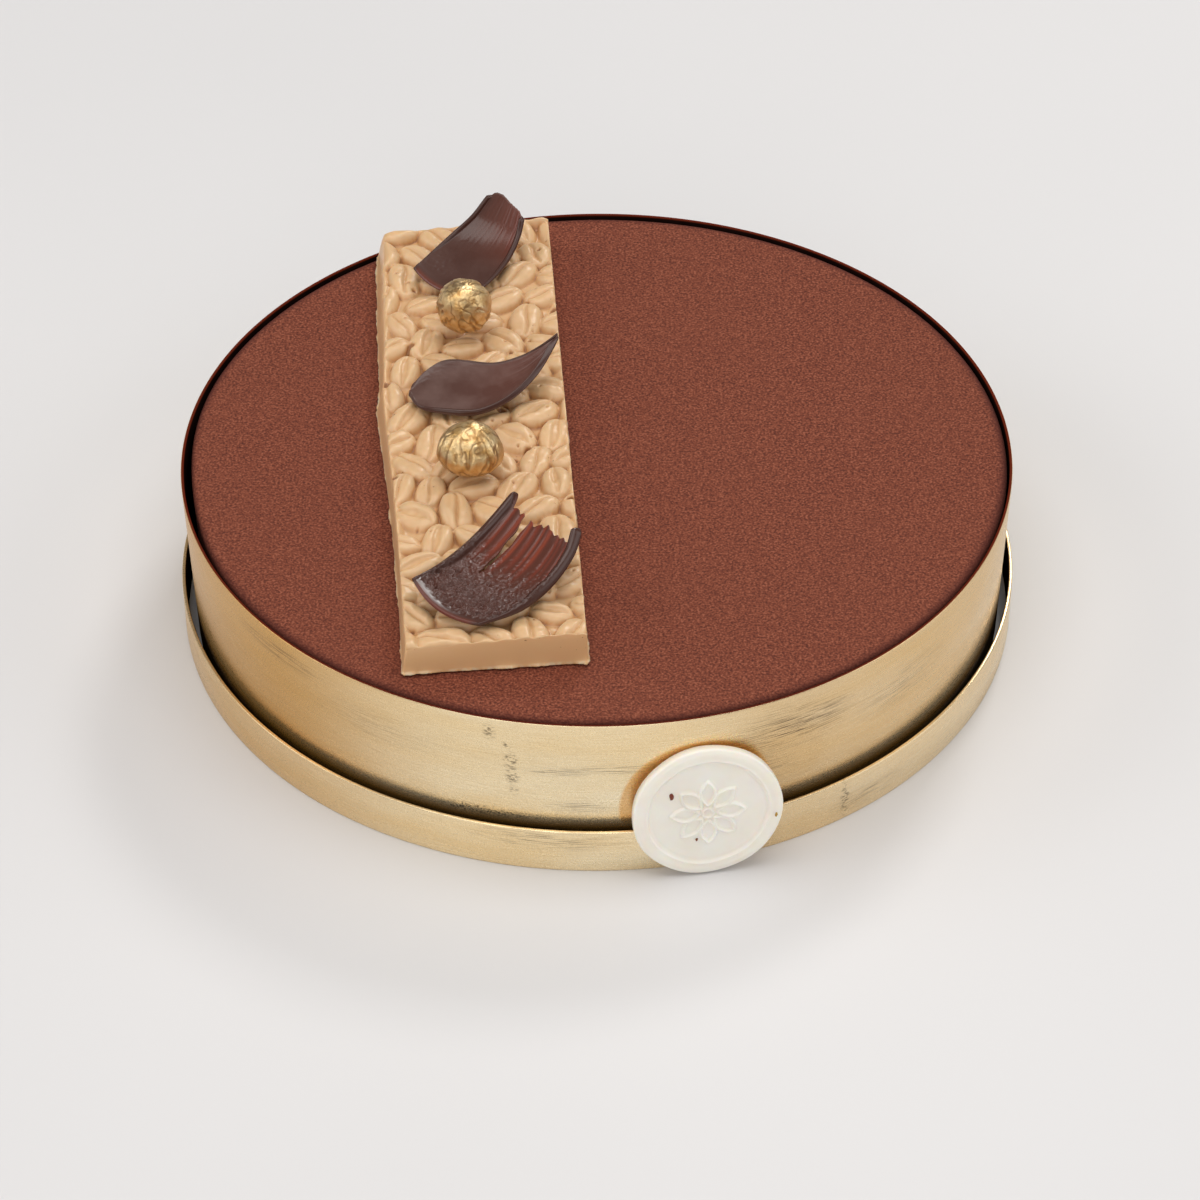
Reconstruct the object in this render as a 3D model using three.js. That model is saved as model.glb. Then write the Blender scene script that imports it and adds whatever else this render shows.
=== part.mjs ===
// A round hazelnut cake, 200 mm across: a mousse cake with a cocoa-velvet coat stands inside a tall
// and a short band of gold-dusted chocolate. A moulded praline bar lies across its top, with three
// brushed chocolate curls and two gilded hazelnuts on it, and a white chocolate seal leans on the
// bands. Millimetres, +Z up, origin at the centre of the base. The seal is on the -Y side.

import * as THREE from 'three';
import { mergeVertices } from 'three/addons/utils/BufferGeometryUtils.js';

// Driving dimensions

const TOUCH_GAP = 0.3; // between pieces that rest on each other
const RING_SIDES = 96; // flat sides round the cake and its bands

const collar = { height: 43.2, topRadius: 100, footRadius: 98, thickness: 0.7, edge: 0.2 };
const lowerBand = { height: 12, topRadius: 101.4, footRadius: 101.1, thickness: 0.9, edge: 0.2 };

const cake = {
  topZ: 42.8,
  topRadius: 98.9,
  edgeRound: 1.8,
  edgeSteps: 4,
  footBevel: 0.5,
  // Where the coat stays short of the collar: the direction in degrees, how deep and how wide.
  dips: [
    { at: 187, depth: 1.4, spread: 11 },
    { at: 275, depth: 0.5, spread: 45 },
  ],
};

const bar = {
  centre: [-27.6, 2.1],
  turn: 3.3, // degrees from the Y axis
  length: 163,
  topWidth: 41,
  // How far the left rim stands out from straight, by places along the bar.
  leftSwell: {
    at: [-81, -61, -41, -20, -6, 5, 16, 20, 24, 45, 70, 81],
    out: [0.3, 0.7, 0.9, 1.3, 1.9, 2.3, 2.5, 2.2, 2.0, 1.1, 0.6, 0.2],
  },
  // How far the left side widens from there down to its foot, likewise, and the right side all along.
  leftDraft: {
    at: [-81, -61, -41, -20, -6, 5, 16, 20, 24, 45, 70, 81],
    out: [1.1, 0.7, 0.8, 1.1, 1.2, 1.5, 1.9, 1.3, 1.4, 2.2, 2.2, 2.0],
  },
  rightDraft: 0.2,
  frontSkew: 1.7, // degrees that each cut end is out of square
  backSkew: 3.3,
  crest: 9.1, // height of the beans' backs
  pit: 6.1, // height of the ground between them
  sideRim: { low: 7.6, high: 8.5 }, // the long sides' rims are filled and shaved to this height
  cutRim: { left: 7.8, right: 9.4 }, // and the cut ends' rims rise evenly from left to right
  columns: 22,
  rows: 82,
};

const bean = {
  length: 11.8,
  width: 8.3,
  across: 5, // beans in a row across the bar, and rows along it
  along: 18,
  overhang: 2.5, // how far the bed of beans runs past the cut edges
  sizeSpread: 0.1,
  roundness: 2.3, // exponent of the outline: 2 is an ellipse
  seed: 20,
  stagger: 0.25, // how far every other row is shifted each way, as a share of a bean's room
  jitter: 0.3, // how far a bean strays from its row, likewise
  overlap: 0.3, // how far two beans sink into each other
  settleSteps: 60,
  settlePush: 0.2, // share of an overlap that each step undoes by moving, and by turning
  settleTurn: 0.04,
};

const seal = {
  radius: 17.55,
  thickness: 2.8,
  edge: 0.55,
  groundRadius: 14.0,
  groundDepth: 0.35,
  direction: 14, // degrees from the -Y axis to the seal's centre
  facing: 10, // degrees from the -Y axis to the way it faces
  lean: 4.6,
  petals: 8,
  petalReach: 8.6,
  petalHeight: 0.35,
  petalRings: 5,
  // How far the outline strays from a circle: waves round it and their share of the radius.
  waves: [{ count: 3, share: 0.006, phase: 1 }, { count: 7, share: 0.004, phase: 0 }],
  sides: 64,
};

// beadWidth is a share of the sheet's half width, and beadAbove how much of a bead lies on top.
const curlSheet = {
  thickness: 0.9, beadWidth: 0.16, beadAbove: 0.75, ridge: 0.3, columns: 14, rows: 18,
};

// Each curl lies between two rails, followed from the start of the brush stroke to its end. A rail
// point is x, y and the height over the beans' backs. sag is how far the sheet hangs between them,
// and bead how much thicker it is along them. ends is how far the stroke runs across the sheet from
// left to right, and bulge how far its start bows out, both as a share of its length.
const curls = {
  curl_front: {
    left: [
      [-42.6, -63.8, 5.0], [-36.8, -56.8, 3.3], [-31.1, -49.9, 3.2], [-25.4, -42.4, 4.4],
      [-19.2, -34.7, 7.4],
    ],
    right: [
      [-26.8, -76.7, 1.6], [-17.2, -71.8, 2.0], [-10.3, -65.6, 4.0], [-5.4, -58.7, 7.2],
      [-3.4, -53.4, 10.9],
    ],
    sag: 1.0,
    bead: 2.0,
    bulge: 0.07,
    ends: [1, 0.92, 0.91, 0.87, 0.92, 0.88, 0.86, 1],
    slit: { at: -0.36, from: 0.45, width: 0.05 },
  },
  curl_middle: {
    left: [
      [-44.4, 13.1, 2.4], [-41.1, 17.2, 3.6], [-35.6, 20.3, 4.5], [-24.9, 19.3, 4.2],
      [-18.2, 19.9, 5.8], [-13.3, 21.3, 8.0], [-9.2, 23.1, 10.5],
    ],
    right: [
      [-45.1, 10.3, 1.9], [-42.7, 5.3, 1.6], [-37.6, 2.9, 1.6], [-28.8, 1.9, 1.8],
      [-20.9, 5.9, 2.9], [-14.2, 12.6, 5.8], [-9.0, 21.6, 10.2],
    ],
    sag: 0.7,
    bead: 0.5,
    bulge: 0.02,
    ends: [1, 1],
  },
  curl_back: {
    left: [
      [-45.2, 61.4, 2.0], [-40.1, 68.4, 2.8], [-35.2, 73.8, 4.4], [-31.0, 76.9, 7.0],
      [-27.7, 79.2, 10.5],
    ],
    right: [
      [-30.5, 49.7, 1.7], [-24.9, 57.2, 1.9], [-21.2, 63.7, 2.8], [-18.6, 69.8, 5.4],
      [-17.3, 73.9, 9.5],
    ],
    sag: 0.6,
    bead: 0.8,
    bulge: 0.06,
    ends: [1.06, 1.14, 1.14, 1.1, 1.06, 1.02, 0.93],
  },
};

// A nut's size across and from base to tip, how flat it is, where it lies and the way its tip points.
const nut = {
  ridges: 9, ridgeDepth: 0.15, wrinkles: 4, wrinkleShare: 0.6, taper: 0.1, tip: 0.06, tipSharpness: 8,
  sides: 28, bands: 15,
};
const nuts = {
  hazelnut_front: {
    width: 16.0, length: 13.2, flatness: 0.9, at: [-29.8, -17.8], tip: [0.08, 0.22, 0.97], seed: 1,
  },
  hazelnut_back: {
    width: 13.6, length: 15.0, flatness: 1, at: [-32.3, 38.2], tip: [-0.25, -0.62, 0.74], seed: 4,
  },
};

// Colours, with the roughness and metalness of each finish

const finishes = {
  cocoaVelvet: { color: '#7c452f', roughness: 0.95, metalness: 0 },
  goldDustedChocolate: { color: '#c9aa74', roughness: 0.38, metalness: 0.85 },
  praline: { color: '#d3ac7c', roughness: 0.55, metalness: 0 },
  darkChocolate: { color: '#4a2c25', roughness: 0.25, metalness: 0 },
  whiteChocolate: { color: '#ece4d8', roughness: 0.5, metalness: 0 },
  gildedNut: { color: '#c9a862', roughness: 0.3, metalness: 0.9 },
};

// Helpers

const radians = THREE.MathUtils.degToRad;
const lerp = THREE.MathUtils.lerp;

function piece(name, geometry, finish) {
  const material = new THREE.MeshStandardMaterial(finishes[finish]);
  const mesh = new THREE.Mesh(geometry, material);
  mesh.name = name;
  return mesh;
}

// Moves every vertex of a closed shape by a rule and closes its seams again.
function reshaped(geometry, rule) {
  const points = geometry.getAttribute('position');
  const point = new THREE.Vector3();
  for (let i = 0; i < points.count; i += 1) {
    rule(point.fromBufferAttribute(points, i));
    points.setXYZ(i, point.x, point.y, point.z);
  }
  geometry.deleteAttribute('normal');
  geometry.deleteAttribute('uv');
  const closed = mergeVertices(geometry, 1e-3);
  closed.computeVertexNormals();
  return closed;
}

// A solid of revolution about +Z from [radius, z] pairs.
function turned(profile, sides) {
  const outline = profile.map(([radius, z]) => new THREE.Vector2(radius, z));
  const geometry = new THREE.LatheGeometry(outline, sides);
  geometry.rotateX(Math.PI / 2);
  return geometry;
}

function geometryOf(vertices, triangles) {
  const geometry = new THREE.BufferGeometry();
  geometry.setAttribute('position', new THREE.Float32BufferAttribute(vertices.flat(), 3));
  geometry.setIndex(triangles.flat());
  geometry.computeVertexNormals();
  return geometry;
}

// The value at a place, read evenly between the known ones on either side of it.
function between(places, values, place) {
  const held = THREE.MathUtils.clamp(place, places[0], places[places.length - 1]);
  const next = Math.max(1, places.findIndex((known) => known >= held));
  const share = (held - places[next - 1]) / (places[next] - places[next - 1]);
  return lerp(values[next - 1], values[next], share);
}

function randomSource(seed) {
  let state = seed;
  return () => {
    state = (Math.imul(1664525, state) + 1013904223) >>> 0;
    return state / 2 ** 32;
  };
}

// The cake and its bands

function topRadiusAt(angle) {
  let radius = cake.topRadius;
  for (const dip of cake.dips) {
    const offset = THREE.MathUtils.euclideanModulo(angle - radians(dip.at) + Math.PI, 2 * Math.PI);
    const away = (offset - Math.PI) / radians(dip.spread);
    radius -= dip.depth * Math.exp(-0.5 * away ** 2);
  }
  return radius;
}

function cakeGeometry() {
  const { topZ, topRadius, edgeRound, edgeSteps, footBevel } = cake;
  const flare = (collar.topRadius - collar.footRadius) / collar.height;
  const wallAt = (z) => topRadius - flare * (topZ - z);
  const profile = [[0, 0], [wallAt(0) - footBevel, 0], [wallAt(footBevel), footBevel]];
  for (let i = 0; i <= edgeSteps; i += 1) {
    const turn = (i / edgeSteps) * (Math.PI / 2);
    const z = topZ - edgeRound * (1 - Math.sin(turn));
    profile.push([wallAt(z) - edgeRound * (1 - Math.cos(turn)), z]);
  }
  profile.push([0, topZ]);
  return reshaped(turned(profile, RING_SIDES), (p) => {
    const scale = topRadiusAt(Math.atan2(p.y, p.x)) / topRadius;
    p.x *= scale;
    p.y *= scale;
  });
}

// A flared band of even thickness with softened rims, standing on the base plane.
function bandGeometry({ height, topRadius, footRadius, thickness, edge }) {
  const outer = (z) => lerp(footRadius, topRadius, z / height);
  const profile = [
    [outer(0) - thickness, 0],
    [outer(0), 0],
    [outer(height - edge), height - edge],
    [outer(height) - edge, height],
    [outer(height) - thickness, height],
    [outer(0) - thickness, 0],
  ];
  return reshaped(turned(profile, RING_SIDES), () => {});
}

// The praline bar

// Lays the beans out in rows, then lets them push each other apart until they lie side by side.
// While they settle, a bean counts as two discs side by side along its length.
function beanBed() {
  const random = randomSource(bean.seed);
  const halfX = bar.topWidth / 2 + bean.overhang;
  const halfY = bar.length / 2 + bean.overhang;
  const bed = [];
  for (let row = 0; row < bean.along; row += 1) {
    for (let column = 0; column < bean.across; column += 1) {
      const shift = 0.5 + (row % 2 ? bean.stagger : -bean.stagger);
      bed.push({
        x: lerp(-halfX, halfX, (column + shift + bean.jitter * (random() - 0.5)) / bean.across),
        y: lerp(-halfY, halfY, (row + 0.5 + bean.jitter * (random() - 0.5)) / bean.along),
        turn: Math.PI * random(),
        size: 1 + bean.sizeSpread * (2 * random() - 1),
      });
    }
  }
  const disc = bean.width / 2 - bean.overlap;
  const arm = (bean.length - bean.width) / 2;
  for (let step = 0; step < bean.settleSteps; step += 1) {
    for (let i = 0; i < bed.length; i += 1) {
      for (let j = i + 1; j < bed.length; j += 1) {
        settlePair(bed[i], bed[j], disc, arm);
      }
    }
    for (const one of bed) {
      one.x = THREE.MathUtils.clamp(one.x, -halfX, halfX);
      one.y = THREE.MathUtils.clamp(one.y, -halfY, halfY);
    }
  }
  return bed;
}

function settlePair(one, other, disc, arm) {
  if (Math.hypot(one.x - other.x, one.y - other.y) > 2 * (disc + arm) * (1 + bean.sizeSpread)) return;
  const reach = disc * (one.size + other.size);
  for (const a of [-arm, arm]) {
    for (const b of [-arm, arm]) {
      const armOneX = a * one.size * Math.cos(one.turn);
      const armOneY = a * one.size * Math.sin(one.turn);
      const armOtherX = b * other.size * Math.cos(other.turn);
      const armOtherY = b * other.size * Math.sin(other.turn);
      const dx = one.x + armOneX - other.x - armOtherX;
      const dy = one.y + armOneY - other.y - armOtherY;
      const distance = Math.hypot(dx, dy);
      if (distance >= reach || distance < 1e-6) continue;
      const push = (bean.settlePush * (reach - distance)) / distance;
      one.x += push * dx;
      one.y += push * dy;
      other.x -= push * dx;
      other.y -= push * dy;
      one.turn += bean.settleTurn * push * (armOneX * dy - armOneY * dx);
      other.turn -= bean.settleTurn * push * (armOtherX * dy - armOtherY * dx);
    }
  }
}

// Height of the bar's top at a place on it: the highest bean there, or the ground between them.
function reliefAt(bed, x, y) {
  let height = bar.pit;
  for (const one of bed) {
    const dx = x - one.x;
    const dy = y - one.y;
    const along = Math.abs(dx * Math.cos(one.turn) + dy * Math.sin(one.turn));
    const across = Math.abs(dy * Math.cos(one.turn) - dx * Math.sin(one.turn));
    const outward =
      (along / (0.5 * bean.length * one.size)) ** bean.roundness +
      (across / (0.5 * bean.width * one.size)) ** bean.roundness;
    if (outward < 1) {
      height = Math.max(height, lerp(bar.pit, bar.crest, Math.sqrt(1 - outward)));
    }
  }
  return height;
}

function barGeometry() {
  const bed = beanBed();
  const { columns, rows, topWidth, length, leftSwell, leftDraft, rightDraft, sideRim, cutRim } = bar;
  const vertices = [];
  const triangles = [];
  const place = (column, row) => {
    const along = lerp(-length / 2, length / 2, row / rows);
    const left = -topWidth / 2 - between(leftSwell.at, leftSwell.out, along);
    const x = lerp(left, topWidth / 2, column / columns);
    const front = -length / 2 + x * Math.tan(radians(bar.frontSkew));
    const back = length / 2 + x * Math.tan(radians(bar.backSkew));
    return [x, lerp(front, back, row / rows)];
  };
  for (let row = 0; row <= rows; row += 1) {
    for (let column = 0; column <= columns; column += 1) {
      const [x, y] = place(column, row);
      let height = reliefAt(bed, x, y);
      if (column === 0 || column === columns) {
        height = THREE.MathUtils.clamp(height, sideRim.low, sideRim.high);
      }
      if (row === 0 || row === rows) height = lerp(cutRim.left, cutRim.right, column / columns);
      vertices.push([x, y, height]);
    }
  }
  const top = (column, row) => row * (columns + 1) + column;
  for (let row = 0; row < rows; row += 1) {
    for (let column = 0; column < columns; column += 1) {
      const [a, b] = [top(column, row), top(column + 1, row)];
      const [c, d] = [top(column + 1, row + 1), top(column, row + 1)];
      triangles.push([a, b, c], [a, c, d]);
    }
  }
  // The rim, once round against the clock, and the wall from it down to the foot.
  const rim = [];
  for (let column = 0; column < columns; column += 1) rim.push([column, 0]);
  for (let row = 0; row < rows; row += 1) rim.push([columns, row]);
  for (let column = columns; column > 0; column -= 1) rim.push([column, rows]);
  for (let row = rows; row > 0; row -= 1) rim.push([0, row]);
  const footStart = vertices.length;
  for (const [column, row] of rim) {
    const [x, y] = place(column, row);
    const draft = x < 0 ? between(leftDraft.at, leftDraft.out, y) : rightDraft;
    vertices.push([x + draft * lerp(-1, 1, column / columns), y, 0]);
  }
  const middle = vertices.length;
  vertices.push([0, 0, 0]);
  rim.forEach(([column, row], i) => {
    const next = (i + 1) % rim.length;
    const above = top(column, row);
    const aboveNext = top(...rim[next]);
    const foot = footStart + i;
    const footNext = footStart + next;
    triangles.push([above, foot, footNext], [above, footNext, aboveNext], [middle, footNext, foot]);
  });
  return geometryOf(vertices, triangles);
}

// The brushed curls

// A smooth curve through the rail's points, carried straight on past its ends.
function onRail(points, share) {
  const spans = points.length - 1;
  const span = THREE.MathUtils.clamp(Math.floor(share * spans), 0, spans - 1);
  const t = share * spans - span;
  const at = (i) => new THREE.Vector3(...points[THREE.MathUtils.clamp(i, 0, spans)]);
  const [before, start, end, after] = [at(span - 1), at(span), at(span + 1), at(span + 2)];
  if (span === 0) before.copy(start).multiplyScalar(2).sub(end);
  if (span === spans - 1) after.copy(end).multiplyScalar(2).sub(start);
  const slopeStart = end.clone().sub(before).multiplyScalar(0.5);
  const slopeEnd = after.clone().sub(start).multiplyScalar(0.5);
  if (t < 0) return start.addScaledVector(slopeStart, t);
  if (t > 1) return end.addScaledVector(slopeEnd, t - 1);
  const [t2, t3] = [t * t, t * t * t];
  return new THREE.Vector3()
    .addScaledVector(start, 2 * t3 - 3 * t2 + 1)
    .addScaledVector(end, 3 * t2 - 2 * t3)
    .addScaledVector(slopeStart, t3 - 2 * t2 + t)
    .addScaledVector(slopeEnd, t3 - t2);
}

function strokeShare(curl, along, across) {
  const place = (0.5 + 0.5 * across) * (curl.ends.length - 1);
  const left = Math.min(Math.floor(place), curl.ends.length - 2);
  const end = lerp(curl.ends[left], curl.ends[left + 1], place - left);
  return lerp(-curl.bulge * (1 - across * across), end, along);
}

// A point in the middle of the sheet, hanging between the rails. across runs from -1 to 1.
function onSheet(curl, share, across) {
  const left = onRail(curl.left, share);
  const right = onRail(curl.right, share);
  const point = left.clone().lerp(right, 0.5 + 0.5 * across);
  point.z -= curl.sag * (1 - across * across);
  return point;
}

function curlGeometry(curl) {
  const { columns, rows, thickness, beadWidth, beadAbove, ridge } = curlSheet;
  const slit = curl.slit;
  const slitColumn = slit ? Math.round((0.5 + 0.5 * slit.at) * columns) : -1;
  const acrossAt = (column, along) => {
    const even = -1 + (2 * column) / columns;
    if (!slit || (column !== slitColumn && column !== slitColumn + 1)) return even;
    const open = slit.width * (0.5 + Math.max(0, along - slit.from) / (1 - slit.from));
    return slit.at + (column === slitColumn ? -open : open);
  };
  const kept = (column, row) => !(slit && column === slitColumn && row >= slit.from * rows);

  const vertices = [];
  const triangles = [];
  for (let row = 0; row <= rows; row += 1) {
    for (let column = 0; column <= columns; column += 1) {
      const along = row / rows;
      const across = acrossAt(column, along);
      const share = strokeShare(curl, along, across);
      const point = onSheet(curl, share, across);
      const forward = onSheet(curl, share + 0.01, across).sub(point);
      const sideways = onSheet(curl, share, across + 0.01).sub(point);
      const up = sideways.cross(forward).normalize();
      const edge = (1 - Math.abs(across)) / beadWidth;
      const swell = curl.bead * Math.exp(-edge * edge);
      const comb = column % 2 ? ridge : 0;
      const upper = point.clone().addScaledVector(up, thickness / 2 + beadAbove * swell + comb);
      const lower = point.clone().addScaledVector(up, -thickness / 2 - (1 - beadAbove) * swell);
      const base = cake.topZ + TOUCH_GAP + bar.crest;
      vertices.push([upper.x, upper.y, upper.z + base], [lower.x, lower.y, lower.z + base]);
    }
  }
  const corner = (column, row, side) => 2 * (row * (columns + 1) + column) + side;
  const inside = (column, row) =>
    column >= 0 && column < columns && row >= 0 && row < rows && kept(column, row);
  // Each kept cell has a face above and below, and a wall where its neighbour is missing.
  for (let row = 0; row < rows; row += 1) {
    for (let column = 0; column < columns; column += 1) {
      if (!kept(column, row)) continue;
      const loop = [[column, row], [column + 1, row], [column + 1, row + 1], [column, row + 1]];
      const beside = [[column, row - 1], [column + 1, row], [column, row + 1], [column - 1, row]];
      const [a, b, c, d] = loop.map(([i, j]) => corner(i, j, 0));
      const [e, f, g, h] = loop.map(([i, j]) => corner(i, j, 1));
      triangles.push([a, b, c], [a, c, d], [e, g, f], [e, h, g]);
      beside.forEach(([i, j], k) => {
        if (inside(i, j)) return;
        const [from, to] = [loop[k], loop[(k + 1) % 4]];
        const [upperFrom, upperTo] = [corner(...from, 0), corner(...to, 0)];
        const [lowerFrom, lowerTo] = [corner(...from, 1), corner(...to, 1)];
        triangles.push([upperFrom, lowerFrom, lowerTo], [upperFrom, lowerTo, upperTo]);
      });
    }
  }
  return geometryOf(vertices, triangles);
}

// The hazelnuts

// A round nut with a blunt base and a short tip, ridged from end to end.
function nutGeometry({ width, length, flatness, seed }) {
  const ball = new THREE.SphereGeometry(1, nut.sides, nut.bands);
  ball.rotateX(Math.PI / 2);
  return reshaped(ball, (p) => {
    const angle = Math.atan2(p.y, p.x);
    const girth = Math.hypot(p.x, p.y);
    const wrinkle = nut.wrinkleShare * Math.cos(nut.wrinkles * angle - 2 * seed);
    const ridge = Math.cos(nut.ridges * angle + seed) + wrinkle;
    const radius = 0.5 * width * (1 - nut.taper * p.z) + nut.ridgeDepth * ridge * girth;
    const tip = nut.tip * length * Math.max(0, p.z) ** nut.tipSharpness;
    p.set(p.x * radius, p.y * radius * flatness, 0.5 * length * p.z + tip);
  });
}

function lyingNut(name, shape) {
  const mesh = piece(name, nutGeometry(shape), 'gildedNut');
  mesh.quaternion.setFromUnitVectors(
    new THREE.Vector3(0, 0, 1),
    new THREE.Vector3(...shape.tip).normalize(),
  );
  // Turned as it lies, its lowest point rests on the beans' backs.
  const turnedShape = mesh.geometry.clone().applyQuaternion(mesh.quaternion);
  turnedShape.computeBoundingBox();
  const rest = cake.topZ + 2 * TOUCH_GAP + bar.crest - turnedShape.boundingBox.min.z;
  mesh.position.set(...shape.at, rest);
  return mesh;
}

// The white chocolate seal

// A thin disc with a raised border, and an eight-petalled rosette in low relief on its face (+Z).
function sealGeometry() {
  const { radius, thickness, edge, groundRadius, groundDepth } = seal;
  const { petals, petalReach, petalHeight, petalRings, waves } = seal;
  const ground = thickness - groundDepth;
  const profile = [
    [0, 0],
    [radius - edge, 0],
    [radius, edge],
    [radius, thickness - edge],
    [radius - edge, thickness],
    [groundRadius + groundDepth, thickness],
    [groundRadius, ground],
  ];
  for (let ring = petalRings; ring >= 0; ring -= 1) {
    profile.push([(petalReach * ring) / petalRings, ground]);
  }
  return reshaped(turned(profile, seal.sides), (p) => {
    const angle = Math.atan2(p.y, p.x);
    const reach = Math.hypot(p.x, p.y) / petalReach;
    let uneven = 1;
    for (const { count, share, phase } of waves) uneven += share * Math.cos(count * angle + phase);
    if (p.z > edge && reach > 0 && reach < 0.99) {
      const petal = Math.max(0, Math.cos(petals * angle)) * Math.sin(Math.PI * reach);
      p.z += petalHeight * petal;
    }
    p.x *= uneven;
    p.y *= uneven;
  });
}

function leaningSeal() {
  const mesh = piece('seal', sealGeometry(), 'whiteChocolate');
  const facing = radians(seal.facing);
  const lean = radians(seal.lean);
  const right = new THREE.Vector3(Math.cos(facing), Math.sin(facing), 0);
  const outward = new THREE.Vector3(
    Math.sin(facing) * Math.cos(lean),
    -Math.cos(facing) * Math.cos(lean),
    Math.sin(lean),
  );
  const upward = outward.clone().cross(right);
  mesh.quaternion.setFromRotationMatrix(new THREE.Matrix4().makeBasis(right, upward, outward));
  // Its back rests on the rim of the lower band, and its edge stands on the base plane.
  const stray = seal.waves.reduce((sum, { share }) => sum + share, 0);
  const centreZ = (1 + stray) * seal.radius * Math.cos(lean);
  const restRadius = lowerBand.topRadius + TOUCH_GAP;
  const backRadius = restRadius - (centreZ - lowerBand.height) * Math.tan(lean);
  const sideways = backRadius * Math.tan(radians(seal.direction - seal.facing));
  mesh.position
    .set(Math.sin(facing) * backRadius, -Math.cos(facing) * backRadius, centreZ)
    .addScaledVector(right, sideways);
  return mesh;
}

// The whole cake

const model = new THREE.Group();
model.add(piece('cake', cakeGeometry(), 'cocoaVelvet'));
model.add(piece('collar', bandGeometry(collar), 'goldDustedChocolate'));
model.add(piece('lower_band', bandGeometry(lowerBand), 'goldDustedChocolate'));
model.add(leaningSeal());

const toppings = new THREE.Group();
const pralineBar = piece('praline_bar', barGeometry(), 'praline');
pralineBar.position.set(...bar.centre, cake.topZ + TOUCH_GAP);
pralineBar.rotation.z = radians(bar.turn);
toppings.add(pralineBar);
for (const [name, curl] of Object.entries(curls)) {
  toppings.add(piece(name, curlGeometry(curl), 'darkChocolate'));
}
for (const [name, shape] of Object.entries(nuts)) toppings.add(lyingNut(name, shape));
model.add(toppings);

export default model;
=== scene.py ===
"""A round hazelnut cake: the looks, in metres, around the fixed frame.

A velvet-sprayed mousse cake stands in two bands of gold-dusted chocolate. A moulded praline bar
with brushed chocolate curls and gilded hazelnuts lies on it, and a white seal leans on its side.
"""
import math

import bpy
import numpy as np
from mathutils import Matrix, Vector, noise


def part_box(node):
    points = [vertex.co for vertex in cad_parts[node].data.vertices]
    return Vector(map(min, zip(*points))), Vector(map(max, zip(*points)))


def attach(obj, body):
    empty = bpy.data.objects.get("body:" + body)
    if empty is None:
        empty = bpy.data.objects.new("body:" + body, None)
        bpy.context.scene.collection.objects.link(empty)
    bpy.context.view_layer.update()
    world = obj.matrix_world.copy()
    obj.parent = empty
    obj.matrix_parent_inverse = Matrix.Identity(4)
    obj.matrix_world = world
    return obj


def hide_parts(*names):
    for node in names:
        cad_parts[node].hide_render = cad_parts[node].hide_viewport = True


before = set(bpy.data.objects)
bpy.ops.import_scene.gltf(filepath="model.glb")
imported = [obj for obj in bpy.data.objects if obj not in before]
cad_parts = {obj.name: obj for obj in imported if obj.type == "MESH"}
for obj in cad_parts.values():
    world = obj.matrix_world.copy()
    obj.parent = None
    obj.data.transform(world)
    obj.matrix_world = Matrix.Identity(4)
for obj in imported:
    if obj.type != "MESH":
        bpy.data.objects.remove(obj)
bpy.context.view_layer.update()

MM = 0.001

# Sizes in millimetres, worked out from the frame where it has them

# The highest x, y and z of these solids
COLLAR_HIGH, BAND_HIGH, CAKE_HIGH = (
    np.array(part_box(name)[1]) / MM for name in ("collar", "lower_band", "cake"))
TOUCH_GAP = 0.3  # between pieces that rest on each other, as in the solids

# Top and foot are the bands' outer radii there, and waver is how far they stray from round.
COLLAR_FLARE = 2
COLLAR = dict(height=COLLAR_HIGH[2], top=COLLAR_HIGH[0], foot=COLLAR_HIGH[0] - COLLAR_FLARE,
              thickness=0.7, edge=0.25, waver=0.12)
LOWER_BAND = dict(height=BAND_HIGH[2], top=BAND_HIGH[0] - 0.06, foot=BAND_HIGH[0] - 0.3,
                  thickness=0.9, edge=0.3, waver=0.15)
# With each band, how far outwards a face has to look to be gilt, from 1 straight out to -1 straight
# in, and the phase of its waver. The collar's rim is bare, and the lower band's is gilt.
BANDS = {"collar": (COLLAR, 0.6, 6.0), "lower_band": (LOWER_BAND, -0.4, 10.0)}
# Marks where the bands were handled: the pattern that the dust is rubbed off in, direction and
# spread in degrees off the front, height and reach up and down, and how far the dust is gone.
BAND_MARKS = (
    ("dash", -14.4, 0.9, 39.3, 2.6, 0.9), ("dash", -12.2, 0.7, 35.6, 1.2, 0.8),
    ("dash", -11.7, 1.1, 31.0, 2.8, 1.0), ("dash", -11.5, 1.0, 26.3, 3.0, 1.0),
    ("dash", -11.3, 0.7, 21.7, 1.6, 0.6), ("dash", 34.5, 0.8, 6.4, 5.5, 1.0),
    ("streak", -5.5, 4.5, 28.6, 1.6, 0.85), ("streak", 2.5, 6.0, 29.6, 1.6, 0.7),
    ("streak", -2.5, 4.5, 17.8, 1.8, 0.75), ("streak", 27.0, 9.0, 33.5, 7.0, 0.9),
    ("streak", 45.0, 9.0, 30.0, 6.0, 0.45), ("streak", 38.5, 6.0, 4.6, 3.0, 0.6),
    ("streak", -7.0, 11.0, 9.2, 3.0, 0.6), ("streak", -48.0, 9.0, 38.0, 3.0, 0.6),
    ("streak", -32.0, 12.0, 31.0, 5.0, 0.25), ("streak", 22.0, 5.0, 21.0, 7.0, 0.6),
    ("grain", -16.0, 8.0, 13.8, 1.6, 1.0))

CAKE_TOP = CAKE_HIGH[2]
CAKE_RADIUS = 98.9
CAKE_FLARE = COLLAR_FLARE / COLLAR["height"]
CAKE_EDGE_ROUND = 1.8
CAKE_RIM_SHADE = (95.8, 98.4)  # the radii where the coat starts to darken and is darkest
CAKE_DIPS = ((187, 1.4, 11), (275, 0.5, 45))  # direction in degrees, depth, spread in degrees

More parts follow.
